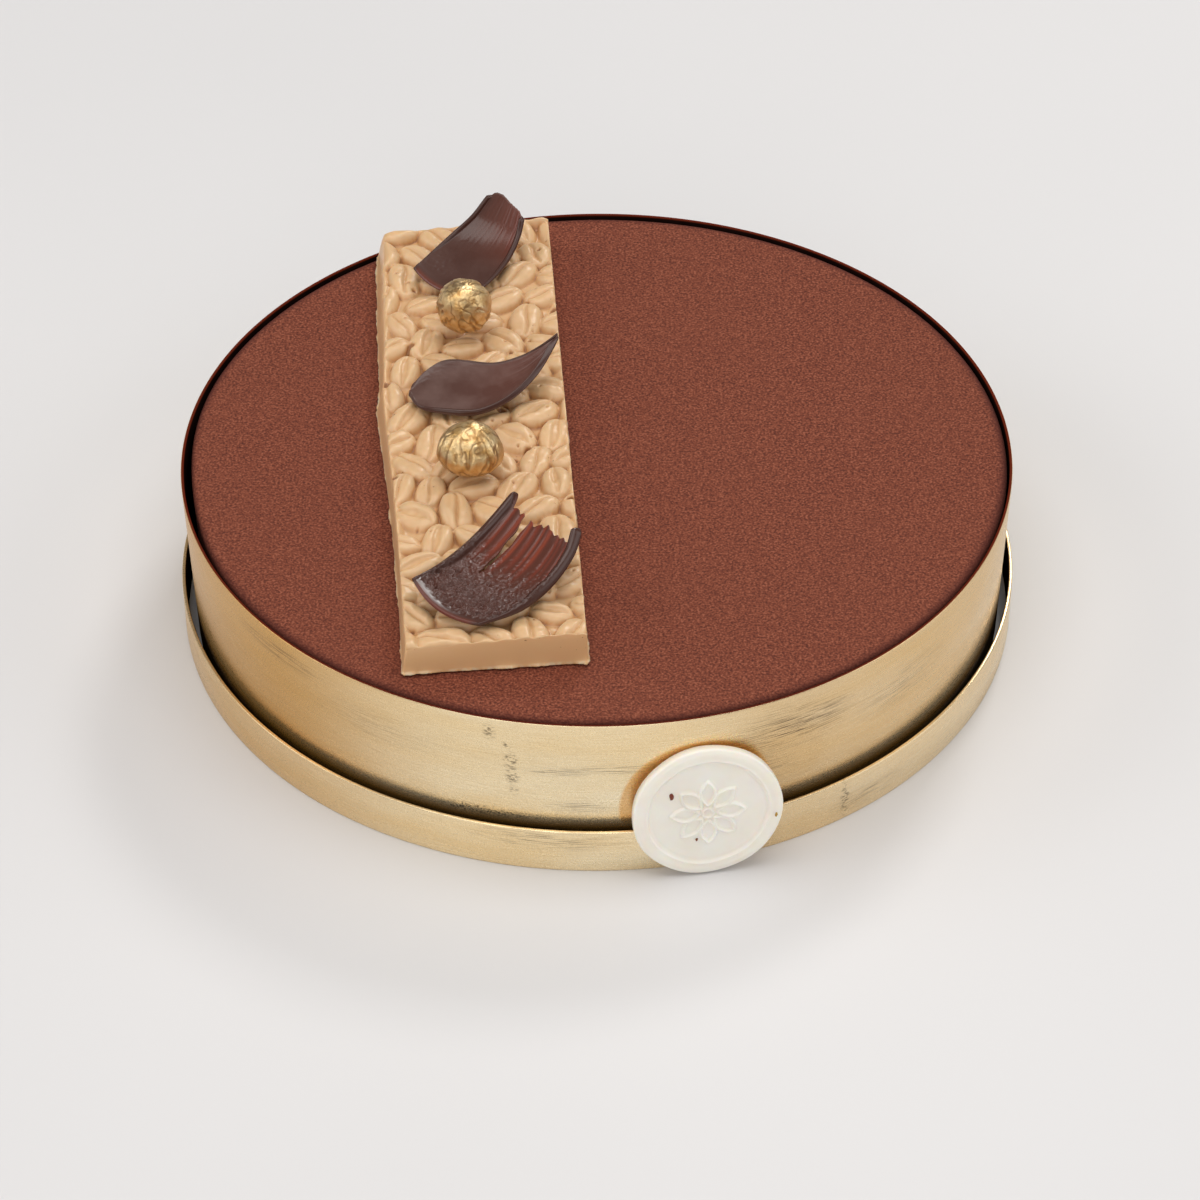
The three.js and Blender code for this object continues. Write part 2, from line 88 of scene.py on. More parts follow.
BAR_CENTRE = (-27.6, 2.1)
BAR_TURN = 3.3
BAR_LENGTH = 163.0
BAR_WIDTH = 41.0
# By places along the bar: how far the left rim stands out from straight, and how far that side
# widens from there down to its foot. The right side is straight and widens evenly.
BAR_PLACES = (-81, -61, -41, -20, -6, 5, 16, 20, 24, 45, 70, 81)
BAR_SWELL_LEFT = (0.3, 0.7, 0.9, 1.3, 1.9, 2.3, 2.5, 2.2, 2.0, 1.1, 0.6, 0.2)
BAR_DRAFT_LEFT = (1.1, 0.7, 0.8, 1.1, 1.2, 1.5, 1.9, 1.3, 1.4, 2.2, 2.2, 2.0)
BAR_DRAFT_RIGHT = 0.2
# In degrees, how far off square its ends are cut
BAR_FRONT_SKEW = 1.7
BAR_BACK_SKEW = 3.3
# Over its foot: the beans' backs, and the lowest that the mould leaves between them
BAR_CREST = 9.1
BAR_PIT = 6.1
BAR_FOOT = CAKE_TOP + TOUCH_GAP
BEANS_TOP = BAR_FOOT + BAR_CREST

BEAN_LENGTH = 11.8
BEAN_WIDTH = 8.3
BEAN_ROUNDNESS = 2.3
# Rows over the bar and a little past its edges, with each bean off its place by a share of the
# spacing, and larger or smaller by a share of its size
BEAN_ACROSS = 5
BEAN_ALONG = 18
BEAN_OVERHANG = 2.5
BEAN_JITTER = 0.3
BEAN_SPREAD = 0.1
BEAN_SEED = 20
# How the beans push each other apart: how far they give way first, and how much of the way that is
# left and of the twist each step makes good
BEAN_PRESSED = 0.3
BEAN_SETTLE_STEPS = 60
BEAN_PUSH = 0.2
BEAN_TWIST = 0.04
# Kinds of bean: how wide the crease down its middle opens, how deep it is and how it bends.
BEAN_KINDS = ((0.95, 0.55, 0.10), (0.12, 0.8, 0.16), (0.45, 0.65, -0.14))

SEAL_RADIUS = 17.55
SEAL_THICKNESS = 2.8
SEAL_EDGE = 0.55
SEAL_SHOULDER = 15.4  # the radius from which the border falls away to the edge
SEAL_GROUND_RADIUS = 14.0
SEAL_GROUND_DEPTH = 0.35
# In degrees: where it stands round the cake, which way it faces and how far it leans back
SEAL_DIRECTION = 14
SEAL_FACING = 10
SEAL_LEAN = 4.6
SEAL_PETALS = 8
SEAL_PETAL_REACH = 8.6
SEAL_PETAL_LINE = 0.6
SEAL_PETAL_RISE = 0.65
SEAL_FACE_FROM = 2.1  # over its back: all that lies higher is its face

# Each curl's rails run from the start of the stroke to its end: x, y, height over the beans.
# sag: how far the sheet hangs between them
# bulge: how far its lip bows out past their start, as a share of their length
# ends: how far the stroke reaches along them, from left to right
# slit: where it lies across, from -1 to 1, where it starts along and how wide it opens
# tube: the radius of the roll at each side
# comb and crinkle: how strong the bristle tracks and the crinkles are
# film: how red the thin chocolate shows at each side, and the painted sheen: how far it pales the rest
# towards grey
CURLS = {
    "curl_front": dict(
        left=[(-42.6, -63.8, 5.0), (-36.8, -56.8, 3.3), (-31.1, -49.9, 3.2), (-25.4, -42.4, 4.4),
              (-19.2, -34.7, 7.4)],
        right=[(-26.8, -76.7, 1.6), (-17.2, -71.8, 2.0), (-10.3, -65.6, 4.0), (-5.4, -58.7, 7.2),
               (-3.4, -53.4, 10.9)],
        sag=1.0, bulge=0.07, ends=[0.95, 0.92, 0.91, 0.87, 0.92, 0.88, 0.86, 0.86],
        slit=(-0.36, 0.45, 0.07), seed=3, tube=(1.3, 1.3), comb=1.0, crinkle=1.0, film=(1.0, 1.0),
        bloom_and_sheen=0.0),
    "curl_middle": dict(
        left=[(-44.4, 13.1, 2.4), (-41.1, 17.2, 3.6), (-35.6, 20.3, 4.5), (-24.9, 19.3, 4.2),
              (-18.2, 19.9, 5.8), (-13.3, 21.3, 8.0), (-9.2, 23.1, 10.5)],
        right=[(-45.1, 10.3, 1.9), (-42.7, 5.3, 1.6), (-37.6, 2.9, 1.6), (-28.8, 1.9, 1.8),
               (-20.9, 5.9, 2.9), (-14.2, 12.6, 5.8), (-9.0, 21.6, 10.2)],
        sag=0.7, bulge=0.02, ends=[1, 1], slit=None, seed=8, tube=(0.35, 0.8), comb=0.12,
        crinkle=0.05, film=(1.0, 0.5), bloom_and_sheen=0.13),
    "curl_back": dict(
        left=[(-45.2, 61.4, 2.0), (-40.1, 68.4, 2.8), (-35.2, 73.8, 4.4), (-31.0, 76.9, 7.0),
              (-27.7, 79.2, 10.5)],
        right=[(-30.5, 49.7, 1.7), (-24.9, 57.2, 1.9), (-21.2, 63.7, 2.8), (-18.6, 69.8, 5.4),
               (-17.3, 73.9, 9.5)],
        sag=0.6, bulge=0.06, ends=[1.06, 1.14, 1.14, 1.1, 1.06, 1.02, 0.93], slit=None, seed=5,
        tube=(0.7, 0.7), comb=0.15, crinkle=0.05, film=(0.2, 1.9), bloom_and_sheen=0.04),
}
CURL_THICKNESS = 0.9
CURL_LIP = 0.34  # half the thickness of its bead
CURL_EDGE = 0.45  # how far in from its edges the sheet rounds off
CURL_TRACKS = 11
CURL_TEARS = 27

# Each nut's width and length, its depth as a share of its width, where its tip points, and its seed.
NUTS = {
    "hazelnut_front": dict(width=15.9, length=13.1, flat=0.9, tip=(0.08, 0.22, 0.97), seed=1),
    "hazelnut_back": dict(width=13.5, length=14.85, flat=1.0, tip=(-0.25, -0.62, 0.74), seed=4),
}
NUT_RIDGES = 9
NUT_WRINKLES = 4
NUT_RIDGE_DEPTH = 0.12
NUT_CREASE_DEPTH = 0.34
NUT_TAPER = 0.05  # how much slimmer it is at its tip, as a share of its width
NUT_TIP_RISE = 0.03  # how far the tip stands out, as a share of its length


# Nodes

MATH, VECTOR = "ShaderNodeMath", "ShaderNodeVectorMath"


def pick(sockets, key):
    """A node's socket by number, or by name among those that its settings leave in use."""
    if isinstance(key, int):
        return sockets[key]
    return next(s for s in sockets if s.enabled and s.name == key)


def given_by(source):
    """The socket that a node gives its result by, or the socket or value itself."""
    if isinstance(source, bpy.types.Node):
        return next(s for s in source.outputs if s.enabled)
    return source


def node(tree, kind, inputs=None, stops=(), **settings):
    """Adds a node with its settings. An input is a value, or the socket or node that feeds it, and
    stops are the places and sRGB colours of a colour ramp."""
    made = tree.nodes.new(kind)
    for name, value in settings.items():
        setattr(made, name, value)
    for key, value in (inputs or {}).items():
        source = given_by(value)
        if isinstance(source, bpy.types.NodeSocket):
            tree.links.new(source, pick(made.inputs, key))
        else:
            pick(made.inputs, key).default_value = value
    for number, (place, colour) in enumerate(stops):
        elements = made.color_ramp.elements
        element = elements[number] if number < 2 else elements.new(place)
        element.position, element.color = place, linear(colour)
    return made


def linear(colour):
    """An sRGB hex colour such as '#c9aa74' as linear red, green, blue and full alpha."""
    channels = [int(colour[i:i + 2], 16) / 255 for i in (1, 3, 5)]
    return tuple(c / 12.92 if c <= 0.04045 else ((c + 0.055) / 1.055) ** 2.4 for c in channels) + (1.0,)


def per_metre(size_mm):
    """The scale of a noise whose features are about this size."""
    return 1 / (size_mm * MM)


def finish(name, **constants):
    """A new material with its shader's constant values set, and its tree, shader and place on the piece."""
    material = bpy.data.materials.new(name)
    material.use_nodes = True
    tree = material.node_tree
    tree.nodes.clear()
    shader = node(tree, "ShaderNodeBsdfPrincipled")
    node(tree, "ShaderNodeOutputMaterial", {"Surface": shader})
    for label, value in constants.items():
        shader.inputs[label.replace("_", " ")].default_value = value
    place = node(tree, "ShaderNodeTexCoord").outputs["Object"]
    return material, tree, shader, place


def feed(tree, shader, **sources):
    """Links what drives a shader's inputs."""
    for label, source in sources.items():
        tree.links.new(given_by(source), shader.inputs[label.replace("_", " ")])


def new_tree(name, **kinds):
    """A Geometry Nodes tree that takes geometry and named inputs, and the sockets of those inputs."""
    tree = bpy.data.node_groups.new(name, "GeometryNodeTree")
    tree.interface.new_socket(name="Geometry", in_out="INPUT", socket_type="NodeSocketGeometry")
    tree.interface.new_socket(name="Geometry", in_out="OUTPUT", socket_type="NodeSocketGeometry")
    for label, kind in kinds.items():
        tree.interface.new_socket(name=label, in_out="INPUT", socket_type="NodeSocket" + kind)
    return tree, node(tree, "NodeGroupInput").outputs


def end_tree(tree, geometry, finish_socket):
    """Realizes what the tree made and gives it its finish."""
    real = node(tree, "GeometryNodeRealizeInstances", {"Geometry": geometry})
    painted = node(tree, "GeometryNodeSetMaterial", {"Geometry": real, "Material": finish_socket})
    node(tree, "NodeGroupOutput", {"Geometry": painted})
    return tree


def grown(name, tree, start=None, **values):
    """Runs a Geometry Nodes tree once on a mesh and returns the result as a plain mesh object."""
    piece = placed(name, start or bpy.data.meshes.new(name + "_start"))
    modifier = piece.modifiers.new(tree.name, "NODES")
    modifier.node_group = tree
    sockets = {item.name: item.identifier for item in tree.interface.items_tree
               if item.item_type == "SOCKET" and item.in_out == "INPUT"}
    for label, value in values.items():
        modifier[sockets[label]] = value
    graph = bpy.context.evaluated_depsgraph_get()
    result = bpy.data.meshes.new_from_object(piece.evaluated_get(graph), depsgraph=graph)
    piece.modifiers.clear()
    piece.data = result
    result.name = name
    result.shade_smooth()
    return piece


# Meshes

def placed(name, data):
    """A new object in the scene, at the origin."""
    made = bpy.data.objects.new(name, data)
    bpy.context.scene.collection.objects.link(made)
    return made


def mesh_from(name, vertices_mm, faces, **attributes):
    """A mesh from points in millimetres, with a number for each point under each attribute's name."""
    mesh = bpy.data.meshes.new(name)
    mesh.from_pydata((np.asarray(vertices_mm) * MM).tolist(), [], faces)
    mesh.update()
    for label, values in attributes.items():
        stored = mesh.attributes.new(label, "FLOAT", "POINT")
        stored.data.foreach_set("value", np.asarray(values, np.float32).ravel())
    return mesh


def grid_faces(columns, rows):
    """Quads over a grid of points stored row by row, facing up when x runs with the columns."""
    first = np.arange(rows)[:, None] * (columns + 1) + np.arange(columns)[None, :]
    quads = np.stack([first, first + 1, first + columns + 2, first + columns + 1], -1)
    return quads.reshape(-1, 4).tolist()


def rim_of_grid(columns, rows):
    """The grid's border once round against the clock, as point numbers."""
    line = columns + 1
    return (list(range(columns)) + [columns + row * line for row in range(rows)]
            + [rows * line + column for column in range(columns, 0, -1)]
            + [row * line for row in range(rows, 0, -1)])


def disc_points(sides):
    """An even grid of points over the unit disc, with the square's border on its edge."""
    a, b = np.meshgrid(np.linspace(-1, 1, sides + 1), np.linspace(-1, 1, sides + 1))
    wide = np.abs(a) > np.abs(b)
    radius = np.where(wide, a, b)
    with np.errstate(divide="ignore", invalid="ignore"):
        angle = np.where(wide, math.pi / 4 * b / a, math.pi / 2 - math.pi / 4 * a / b)
    angle = np.nan_to_num(angle)
    return (radius * np.cos(angle)).ravel(), (radius * np.sin(angle)).ravel()


def skirt_faces(rim, first, rows):
    """Quads from a rim down through rows of points, each stored once round, and the closing face."""
    faces = []
    above = rim
    count = len(rim)
    for row in range(rows):
        below = [first + row * count + i for i in range(count)]
        faces += [(above[i], below[i], below[(i + 1) % count], above[(i + 1) % count])
                  for i in range(count)]
        above = below
    faces.append(tuple(reversed(above)))
    return faces


def smooth_step(value, low, high):
    """0 up to low, 1 from high on, and a soft rise between them."""
    share = np.clip((value - low) / (high - low), 0, 1)
    return share * share * (3 - 2 * share)


def random_source(seed):
    """Even random numbers from 0 to 1, the same ones that the solid's beans were laid by."""
    state = seed
    while True:
        state = (1664525 * state + 1013904223) & 0xFFFFFFFF
        yield state / 2 ** 32


def on_rail(points, shares):
    """Points of a smooth curve through the rail, carried straight on past its ends."""
    points = np.array(points, float)
    points = np.vstack([2 * points[0] - points[1], points, 2 * points[-1] - points[-2]])
    spans = len(points) - 3
    shares = np.asarray(shares, float)
    span = np.clip(np.floor(shares * spans).astype(int), 0, spans - 1)
    t = (shares * spans - span)[..., None]
    before, start, end, after = (points[span + i] for i in range(4))
    slope_start, slope_end = (end - before) / 2, (after - start) / 2
    inside = np.clip(t, 0, 1)
    t2, t3 = inside ** 2, inside ** 3
    curve = (start * (2 * t3 - 3 * t2 + 1) + end * (3 * t2 - 2 * t3)
             + slope_start * (t3 - 2 * t2 + inside) + slope_end * (t3 - t2))
    return curve + slope_start * np.minimum(t, 0) + slope_end * np.maximum(t - 1, 0)


# Materials

def velvet_material():
    """Cocoa-butter velvet, sprayed on frozen mousse: a dull skin of fine droplets that scatters
    light evenly. Painted shade darkens the pits between them and, in a deeper red, the edge where it rolls
    over."""
    material, tree, shader, place = finish("cocoa_butter_velvet_sprayed", Roughness=0.85,
                                           Specular_IOR_Level=0.25)
    clouds = node(tree, "ShaderNodeTexNoise", {"Vector": place, "Scale": per_metre(38), "Detail": 3.0})
    # The real droplets are about 0.1 mm. They show as clumps of 0.3 to 1 mm, which are drawn here.
    clumps = node(tree, "ShaderNodeTexNoise", {"Vector": place, "Scale": per_metre(0.55), "Detail": 2.0,
                                               "Roughness": 0.55})
    # Painted shade: the colour follows the clumps' height, dark in the pits between them and pale on their
    # crests.
    coat = node(tree, "ShaderNodeValToRGB", {"Fac": clumps}, stops=[
        (0.34, "#4a2016"), (0.46, "#6a3324"), (0.55, "#7c402c"), (0.66, "#975842")])
    drifted = node(tree, "ShaderNodeMix", {
        "Factor": node(tree, MATH, {0: clouds, 1: 0.35}, operation="MULTIPLY"),
        "A": coat, "B": linear("#78402d")}, data_type="RGBA")
    flat = node(tree, VECTOR, {0: place, 1: (1, 1, 0)}, operation="MULTIPLY")
    radius = node(tree, VECTOR, {0: flat}, operation="LENGTH")
    # Painted shade towards the edge, where the coat rolls over beside the collar.
    rim = node(tree, "ShaderNodeMapRange", {
        "Value": radius.outputs["Value"], "From Min": CAKE_RIM_SHADE[0] * MM,
        "From Max": CAKE_RIM_SHADE[1] * MM, "To Max": 0.85}, interpolation_type="SMOOTHSTEP")
    shade_tinted = node(tree, "ShaderNodeMix", {"Factor": rim, "A": drifted, "B": linear("#4a1d15")},
                  data_type="RGBA")
    bump = node(tree, "ShaderNodeBump", {"Height": clumps, "Strength": 1.0, "Distance": 0.3 * MM})
    feed(tree, shader, Base_Color=shade_tinted, Normal=bump)
    return material


def zone(tree, angle, height, direction, spread, middle, tall):
    """How far a place on a band lies from the middle of a zone, as a share of the zone's reach, from
    directions and spreads in degrees off the front and heights in millimetres."""
    across = node(tree, MATH, {0: angle, 1: 180 / math.pi / spread, 2: -direction / spread},
                  operation="MULTIPLY_ADD")
    up = node(tree, MATH, {0: height, 1: 1 / (tall * MM), 2: -middle / tall}, operation="MULTIPLY_ADD")
    offset = node(tree, "ShaderNodeCombineXYZ", {"X": across, "Y": up})
    return node(tree, VECTOR, {0: offset}, operation="LENGTH").outputs["Value"]


def gold_dust_material():
    """Dark chocolate brushed with gold lustre powder: a satin metal skin whose strokes run round the
    cake. It is rubbed through to the chocolate in thin streaks and a few upright smudges. Painted
    shade makes it darker and more amber on the left, less so on the right and beside the seal, and
    browns it to near black in the corner over the lower band. A painted amber glow rings the seal."""
    material, tree, shader, place = finish("gold_lustre_brushed_on_chocolate", Specular_IOR_Level=0.0)
    axes = node(tree, "ShaderNodeSeparateXYZ", {0: place})
    height = axes.outputs["Z"]
    behind = node(tree, MATH, {0: axes.outputs["Y"], 1: -1.0}, operation="MULTIPLY")
    angle = node(tree, MATH, {0: axes.outputs["X"], 1: behind}, operation="ARCTAN2")

    # Each pattern's length round the cake and its width up the band, in millimetres, and its detail.
    fields = {}
    for label, length, width, detail in (
            ("hair", 9, 0.2, 4.0), ("broad", 60, 14, 2.0), ("streak", 9, 0.24, 2.0),
            ("dash", 1.1, 0.4, 2.0), ("grain", 0.6, 0.5, 2.0)):
        stretched = node(tree, "ShaderNodeMapping", {
            "Vector": place, "Scale": (per_metre(length), per_metre(length), per_metre(width))})
        fields[label] = node(tree, "ShaderNodeTexNoise", {"Vector": stretched, "Scale": 1.0,
                                                          "Detail": detail, "Roughness": 0.6})
    worn = node(tree, "ShaderNodeValue")
    for pattern, direction, spread, middle, tall, share in BAND_MARKS:
        distance = zone(tree, angle, height, direction, spread, middle, tall)
        faded = node(tree, "ShaderNodeMapRange", {"Value": distance, "From Min": 1.2, "From Max": 0.3,
                                                  "To Max": share})
        touched = node(tree, "ShaderNodeMapRange", {"Value": fields[pattern], "From Min": 0.49,
                                                    "From Max": 0.6})
        mark = node(tree, MATH, {0: faded, 1: touched}, operation="MULTIPLY")
        worn = node(tree, MATH, {0: worn, 1: mark}, operation="MAXIMUM")
    dusted = node(tree, "ShaderNodeValToRGB", {"Fac": fields["broad"]},
                  stops=[(0.3, "#f8deae"), (0.7, "#fff1d0")])
    # Painted shade: the gold darkens towards amber over these degrees off the front on each side, and in a
    # zone right of the seal.
    left, right = (
        node(tree, "ShaderNodeMapRange", {"Value": angle, "From Min": math.radians(first),
                                          "From Max": math.radians(last), "To Max": share},
             interpolation_type="SMOOTHSTEP")
        for first, last, share in ((-16, -50, 0.85), (6, 28, 0.4)))
    seal_side_shade = node(tree, "ShaderNodeMapRange", {
        "Value": zone(tree, angle, height, 26, 11, 24, 22), "From Min": 1.1, "From Max": 0.4,
        "To Max": 0.45}, interpolation_type="SMOOTHSTEP")
    side_shades = node(tree, MATH, {0: left, 1: right}, operation="MAXIMUM")
    sides = node(tree, MATH, {0: side_shades, 1: seal_side_shade}, operation="MAXIMUM")
    flat = node(tree, VECTOR, {0: place, 1: (1, 1, 0)}, operation="MULTIPLY")
    ring = node(tree, VECTOR, {0: flat}, operation="LENGTH").outputs["Value"]
    on_collar = node(tree, MATH, {0: ring, 1: (COLLAR["top"] + 0.5) * MM}, operation="LESS_THAN")
    # The painted side shade is weaker on the lower band, and fades out towards the back of both.
    evened = node(tree, MATH, {0: on_collar, 1: 0.4, 2: 0.6}, operation="MULTIPLY_ADD")
    off_front = node(tree, MATH, {0: angle}, operation="ABSOLUTE")
    ahead = node(tree, "ShaderNodeMapRange", {
        "Value": off_front, "From Min": math.radians(160), "From Max": math.radians(80)},
        interpolation_type="SMOOTHSTEP")
    side_shade_by_band = node(tree, MATH, {0: sides, 1: evened}, operation="MULTIPLY")
    side_shade_share = node(tree, MATH, {0: side_shade_by_band, 1: ahead}, operation="MULTIPLY")
    # Painted side shade: the gold is mixed towards a darker amber.
    gold = node(tree, "ShaderNodeMix", {"Factor": side_shade_share, "A": dusted, "B": linear("#c8964e")},
                data_type="RGBA")
    # On the collar, painted shade browns the gold to near black down in the corner over the lower band, and a
    # painted amber glow lies round the seal's edge.
    corner = LOWER_BAND["height"] * MM
    low = node(tree, "ShaderNodeMapRange", {"Value": height, "From Min": corner + 1.8 * MM,
                                            "From Max": corner - 3.8 * MM})
    seal_glow = node(tree, "ShaderNodeMapRange", {
        "Value": zone(tree, angle, height, SEAL_DIRECTION - 0.7, 10.4, 16.8, 18.6), "From Min": 1.04,
        "From Max": 1.0, "To Max": 0.3})
    run_out = node(tree, MATH, {0: low, 1: seal_glow}, operation="MAXIMUM")
    shade_glow_amount = node(tree, MATH, {0: run_out, 1: on_collar}, operation="MULTIPLY")
    # The colours of the painted glow and shade: amber at the seal's edge, browning to near black down in the
    # corner.
    amber = node(tree, "ShaderNodeValToRGB", {"Fac": shade_glow_amount},
                 stops=[(0.25, "#eaa848"), (0.55, "#b9812f"), (0.8, "#523316"), (1.0, "#160d08")])
    shade_glow_share = node(tree, "ShaderNodeMapRange", {"Value": shade_glow_amount, "From Max": 0.45, "To Max": 0.95})
    # Where the painted shade is deepest, the metal is taken away as well.
    metal = node(tree, "ShaderNodeMapRange", {"Value": shade_glow_amount, "From Min": 0.6, "From Max": 0.95,
                                              "To Min": 0.82, "To Max": 0.0})
    shade_glow_mixed = node(tree, "ShaderNodeMix", {"Factor": shade_glow_share, "A": gold, "B": amber}, data_type="RGBA")
    # Powder grains of about 0.3 mm lie over the hair lines that the brush left.
    powder = node(tree, "ShaderNodeTexNoise", {"Vector": place, "Scale": per_metre(0.35), "Detail": 2.0,
                                               "Roughness": 0.7})
    surface = node(tree, MATH, {0: powder, 1: fields["hair"]}, operation="ADD")
    dull = node(tree, "ShaderNodeMapRange", {"Value": surface, "From Min": 0.85, "From Max": 1.4,
                                             "To Max": 0.3})
    brushed = node(tree, "ShaderNodeMix", {"Factor": dull, "A": shade_glow_mixed, "B": linear("#b48d50")},
                   data_type="RGBA")
    rubbed = node(tree, "ShaderNodeMix", {
        "Factor": node(tree, MATH, {0: worn, 1: 0.9}, operation="MULTIPLY"),
        "A": brushed, "B": linear("#4a382c")}, data_type="RGBA")
    rough = node(tree, "ShaderNodeMapRange", {"Value": surface, "From Min": 0.6, "From Max": 1.4,
                                              "To Min": 0.22, "To Max": 0.35})
    bump = node(tree, "ShaderNodeBump", {"Height": surface, "Strength": 0.22, "Distance": 0.05 * MM})
    feed(tree, shader, Base_Color=rubbed, Metallic=metal, Roughness=rough, Normal=bump)
    return material


def band_chocolate_material():
    """Tempered dark chocolate, bare on the bands' inner sides: near black and dull, and red-brown
    along the collar's rim, where it is thin and the cocoa spray has caught it."""
    material, tree, shader, place = finish("dark_chocolate_band", Roughness=0.7, Specular_IOR_Level=0.0)
    bloom_and_sheen = node(tree, "ShaderNodeTexNoise", {"Vector": place, "Scale": per_metre(6), "Detail": 4.0})
    tone = node(tree, "ShaderNodeValToRGB", {"Fac": bloom_and_sheen}, stops=[(0.3, "#120907"), (0.7, "#1c100d")])
    height = node(tree, "ShaderNodeSeparateXYZ", {0: place}).outputs["Z"]
    rim = node(tree, "ShaderNodeMapRange", {"Value": height, "From Min": (COLLAR["height"] - 0.5) * MM,
                                            "From Max": (COLLAR["height"] - 0.1) * MM})
    edged = node(tree, "ShaderNodeMix", {"Factor": rim, "A": tone, "B": linear("#5e2416")},
                 data_type="RGBA")
    feed(tree, shader, Base_Color=edged)
    return material


def praline_material():
    """Caramel chocolate cast in a mould: satin and slightly waxy, with fine pores and pale crumbs along
    its foot. Painted shade deepens its colour down in the creases, and a painted light keeps its walls pale."""
    material, tree, shader, place = finish("caramel_chocolate_moulded", Roughness=0.37,
                                           Subsurface_Weight=0.2, Subsurface_Radius=(1.0, 0.5, 0.25),
                                           Subsurface_Scale=1.2 * MM)
    hollow, share = (node(tree, "ShaderNodeAttribute", attribute_name=label).outputs["Fac"]
                     for label in ("hollow", "share"))
    drift = node(tree, "ShaderNodeTexNoise", {"Vector": place, "Scale": per_metre(14), "Detail": 3.0})
    # Painted shade: the deeper a place lies below its surroundings, the darker its tone.
    depth = node(tree, "ShaderNodeMapRange", {"Value": hollow, "From Min": -0.25, "From Max": 0.55})
    tone = node(tree, "ShaderNodeValToRGB", {"Fac": depth}, stops=[
        (0.0, "#dab98f"), (0.35, "#d0aa7d"), (0.7, "#bf8e5c"), (1.0, "#97643a")])
    mottled = node(tree, "ShaderNodeMix", {
        "Factor": node(tree, MATH, {0: drift, 1: 0.4}, operation="MULTIPLY"),
        "A": tone, "B": linear("#cfa176")}, data_type="RGBA")
    # Painted light: the walls take one pale tone, as bright as the top.
    walls = node(tree, "ShaderNodeMapRange", {"Value": share, "From Min": 0.99, "From Max": 0.96,
                                              "To Max": 0.85})
    walls_painted_light = node(tree, "ShaderNodeMix", {"Factor": walls, "A": mottled, "B": linear("#e2b584")},
                  data_type="RGBA")
    # Pores stand where a fine noise peaks, and crumbs cling along the foot.
    peaks = node(tree, "ShaderNodeTexNoise", {"Vector": place, "Scale": per_metre(1.3)})
    pores = node(tree, "ShaderNodeMapRange", {"Value": peaks, "From Min": 0.72, "From Max": 0.78})
    pored = node(tree, "ShaderNodeMix", {"Factor": pores, "A": walls_painted_light, "B": linear("#9a6a40")},
                 data_type="RGBA")
    at_foot = node(tree, "ShaderNodeMapRange", {"Value": share, "From Min": 0.15, "From Max": 0.04})
    bits = node(tree, "ShaderNodeTexNoise", {"Vector": place, "Scale": per_metre(2.0), "Detail": 3.0})
    crumbs = node(tree, "ShaderNodeMapRange", {"Value": bits, "From Min": 0.42, "From Max": 0.58})
    crumbed = node(tree, "ShaderNodeMix", {
        "Factor": node(tree, MATH, {0: at_foot, 1: crumbs}, operation="MULTIPLY"),
        "A": pored, "B": linear("#e9d3b0")}, data_type="RGBA")
    skin = node(tree, "ShaderNodeTexNoise", {"Vector": place, "Scale": per_metre(1.8), "Detail": 4.0})
    relief = node(tree, MATH, {0: pores, 1: -3.0, 2: skin}, operation="MULTIPLY_ADD")
    bump = node(tree, "ShaderNodeBump", {"Height": relief, "Strength": 0.3, "Distance": 0.15 * MM})
    feed(tree, shader, Base_Color=crumbed, Normal=bump)
    return material


def curl_material():
    """Tempered dark chocolate brushed out thin: glossy near-black where it lies thick, red-brown
    where the bristles left a film that lets the light through, and paled towards grey by a painted sheen."""
    material, tree, shader, place = finish("dark_chocolate_brushed_thin", Specular_IOR_Level=0.4)
    film, crinkle, bloom_and_sheen = (node(tree, "ShaderNodeAttribute", attribute_name=label).outputs["Fac"]
                            for label in ("film", "crinkle", "bloom_and_sheen"))
    tone = node(tree, "ShaderNodeValToRGB", {"Fac": film}, stops=[
        (0.0, "#442820"), (0.35, "#572e23"), (0.7, "#6b3124"), (1.0, "#7e3a27")])
    drift = node(tree, "ShaderNodeTexNoise", {"Vector": place, "Scale": per_metre(7), "Detail": 3.0})
    patchy = node(tree, "ShaderNodeMapRange", {"Value": drift, "From Min": 0.35, "From Max": 0.65,
                                               "To Min": 0.4, "To Max": 1.6})
    # Painted sheen: the base colour is paled towards grey, unevenly.
    sheen_painted = node(tree, "ShaderNodeMix", {
        "Factor": node(tree, MATH, {0: bloom_and_sheen, 1: patchy}, operation="MULTIPLY"),
        "A": tone, "B": linear("#a08780")}, data_type="RGBA")
    foil = node(tree, "ShaderNodeTexNoise", {"Vector": place, "Scale": per_metre(0.9), "Detail": 3.0,
                                             "Roughness": 0.6, "Distortion": 1.2})
    creased = node(tree, MATH, {0: foil, 1: crinkle}, operation="MULTIPLY")
    rough = node(tree, "ShaderNodeMapRange", {"Value": crinkle, "From Max": 0.5, "To Min": 0.25,
                                              "To Max": 0.08})
    bump = node(tree, "ShaderNodeBump", {"Height": creased, "Strength": 1.0, "Distance": 0.4 * MM})
    feed(tree, shader, Base_Color=sheen_painted, Roughness=rough, Normal=bump)
    return material


def white_chocolate_material():
    """White chocolate cast in a stamp: ivory, satin, light passing a little way into it."""
    material, tree, shader, place = finish("white_chocolate_cast", Roughness=0.4, Subsurface_Weight=0.6,
                                           Subsurface_Radius=(1.0, 0.75, 0.5), Subsurface_Scale=2.0 * MM)
    drift = node(tree, "ShaderNodeTexNoise", {"Vector": place, "Scale": per_metre(9), "Detail": 3.0})
    tone = node(tree, "ShaderNodeValToRGB", {"Fac": drift}, stops=[(0.3, "#f5efe4"), (0.7, "#faf6ee")])
    feed(tree, shader, Base_Color=tone)
    return material


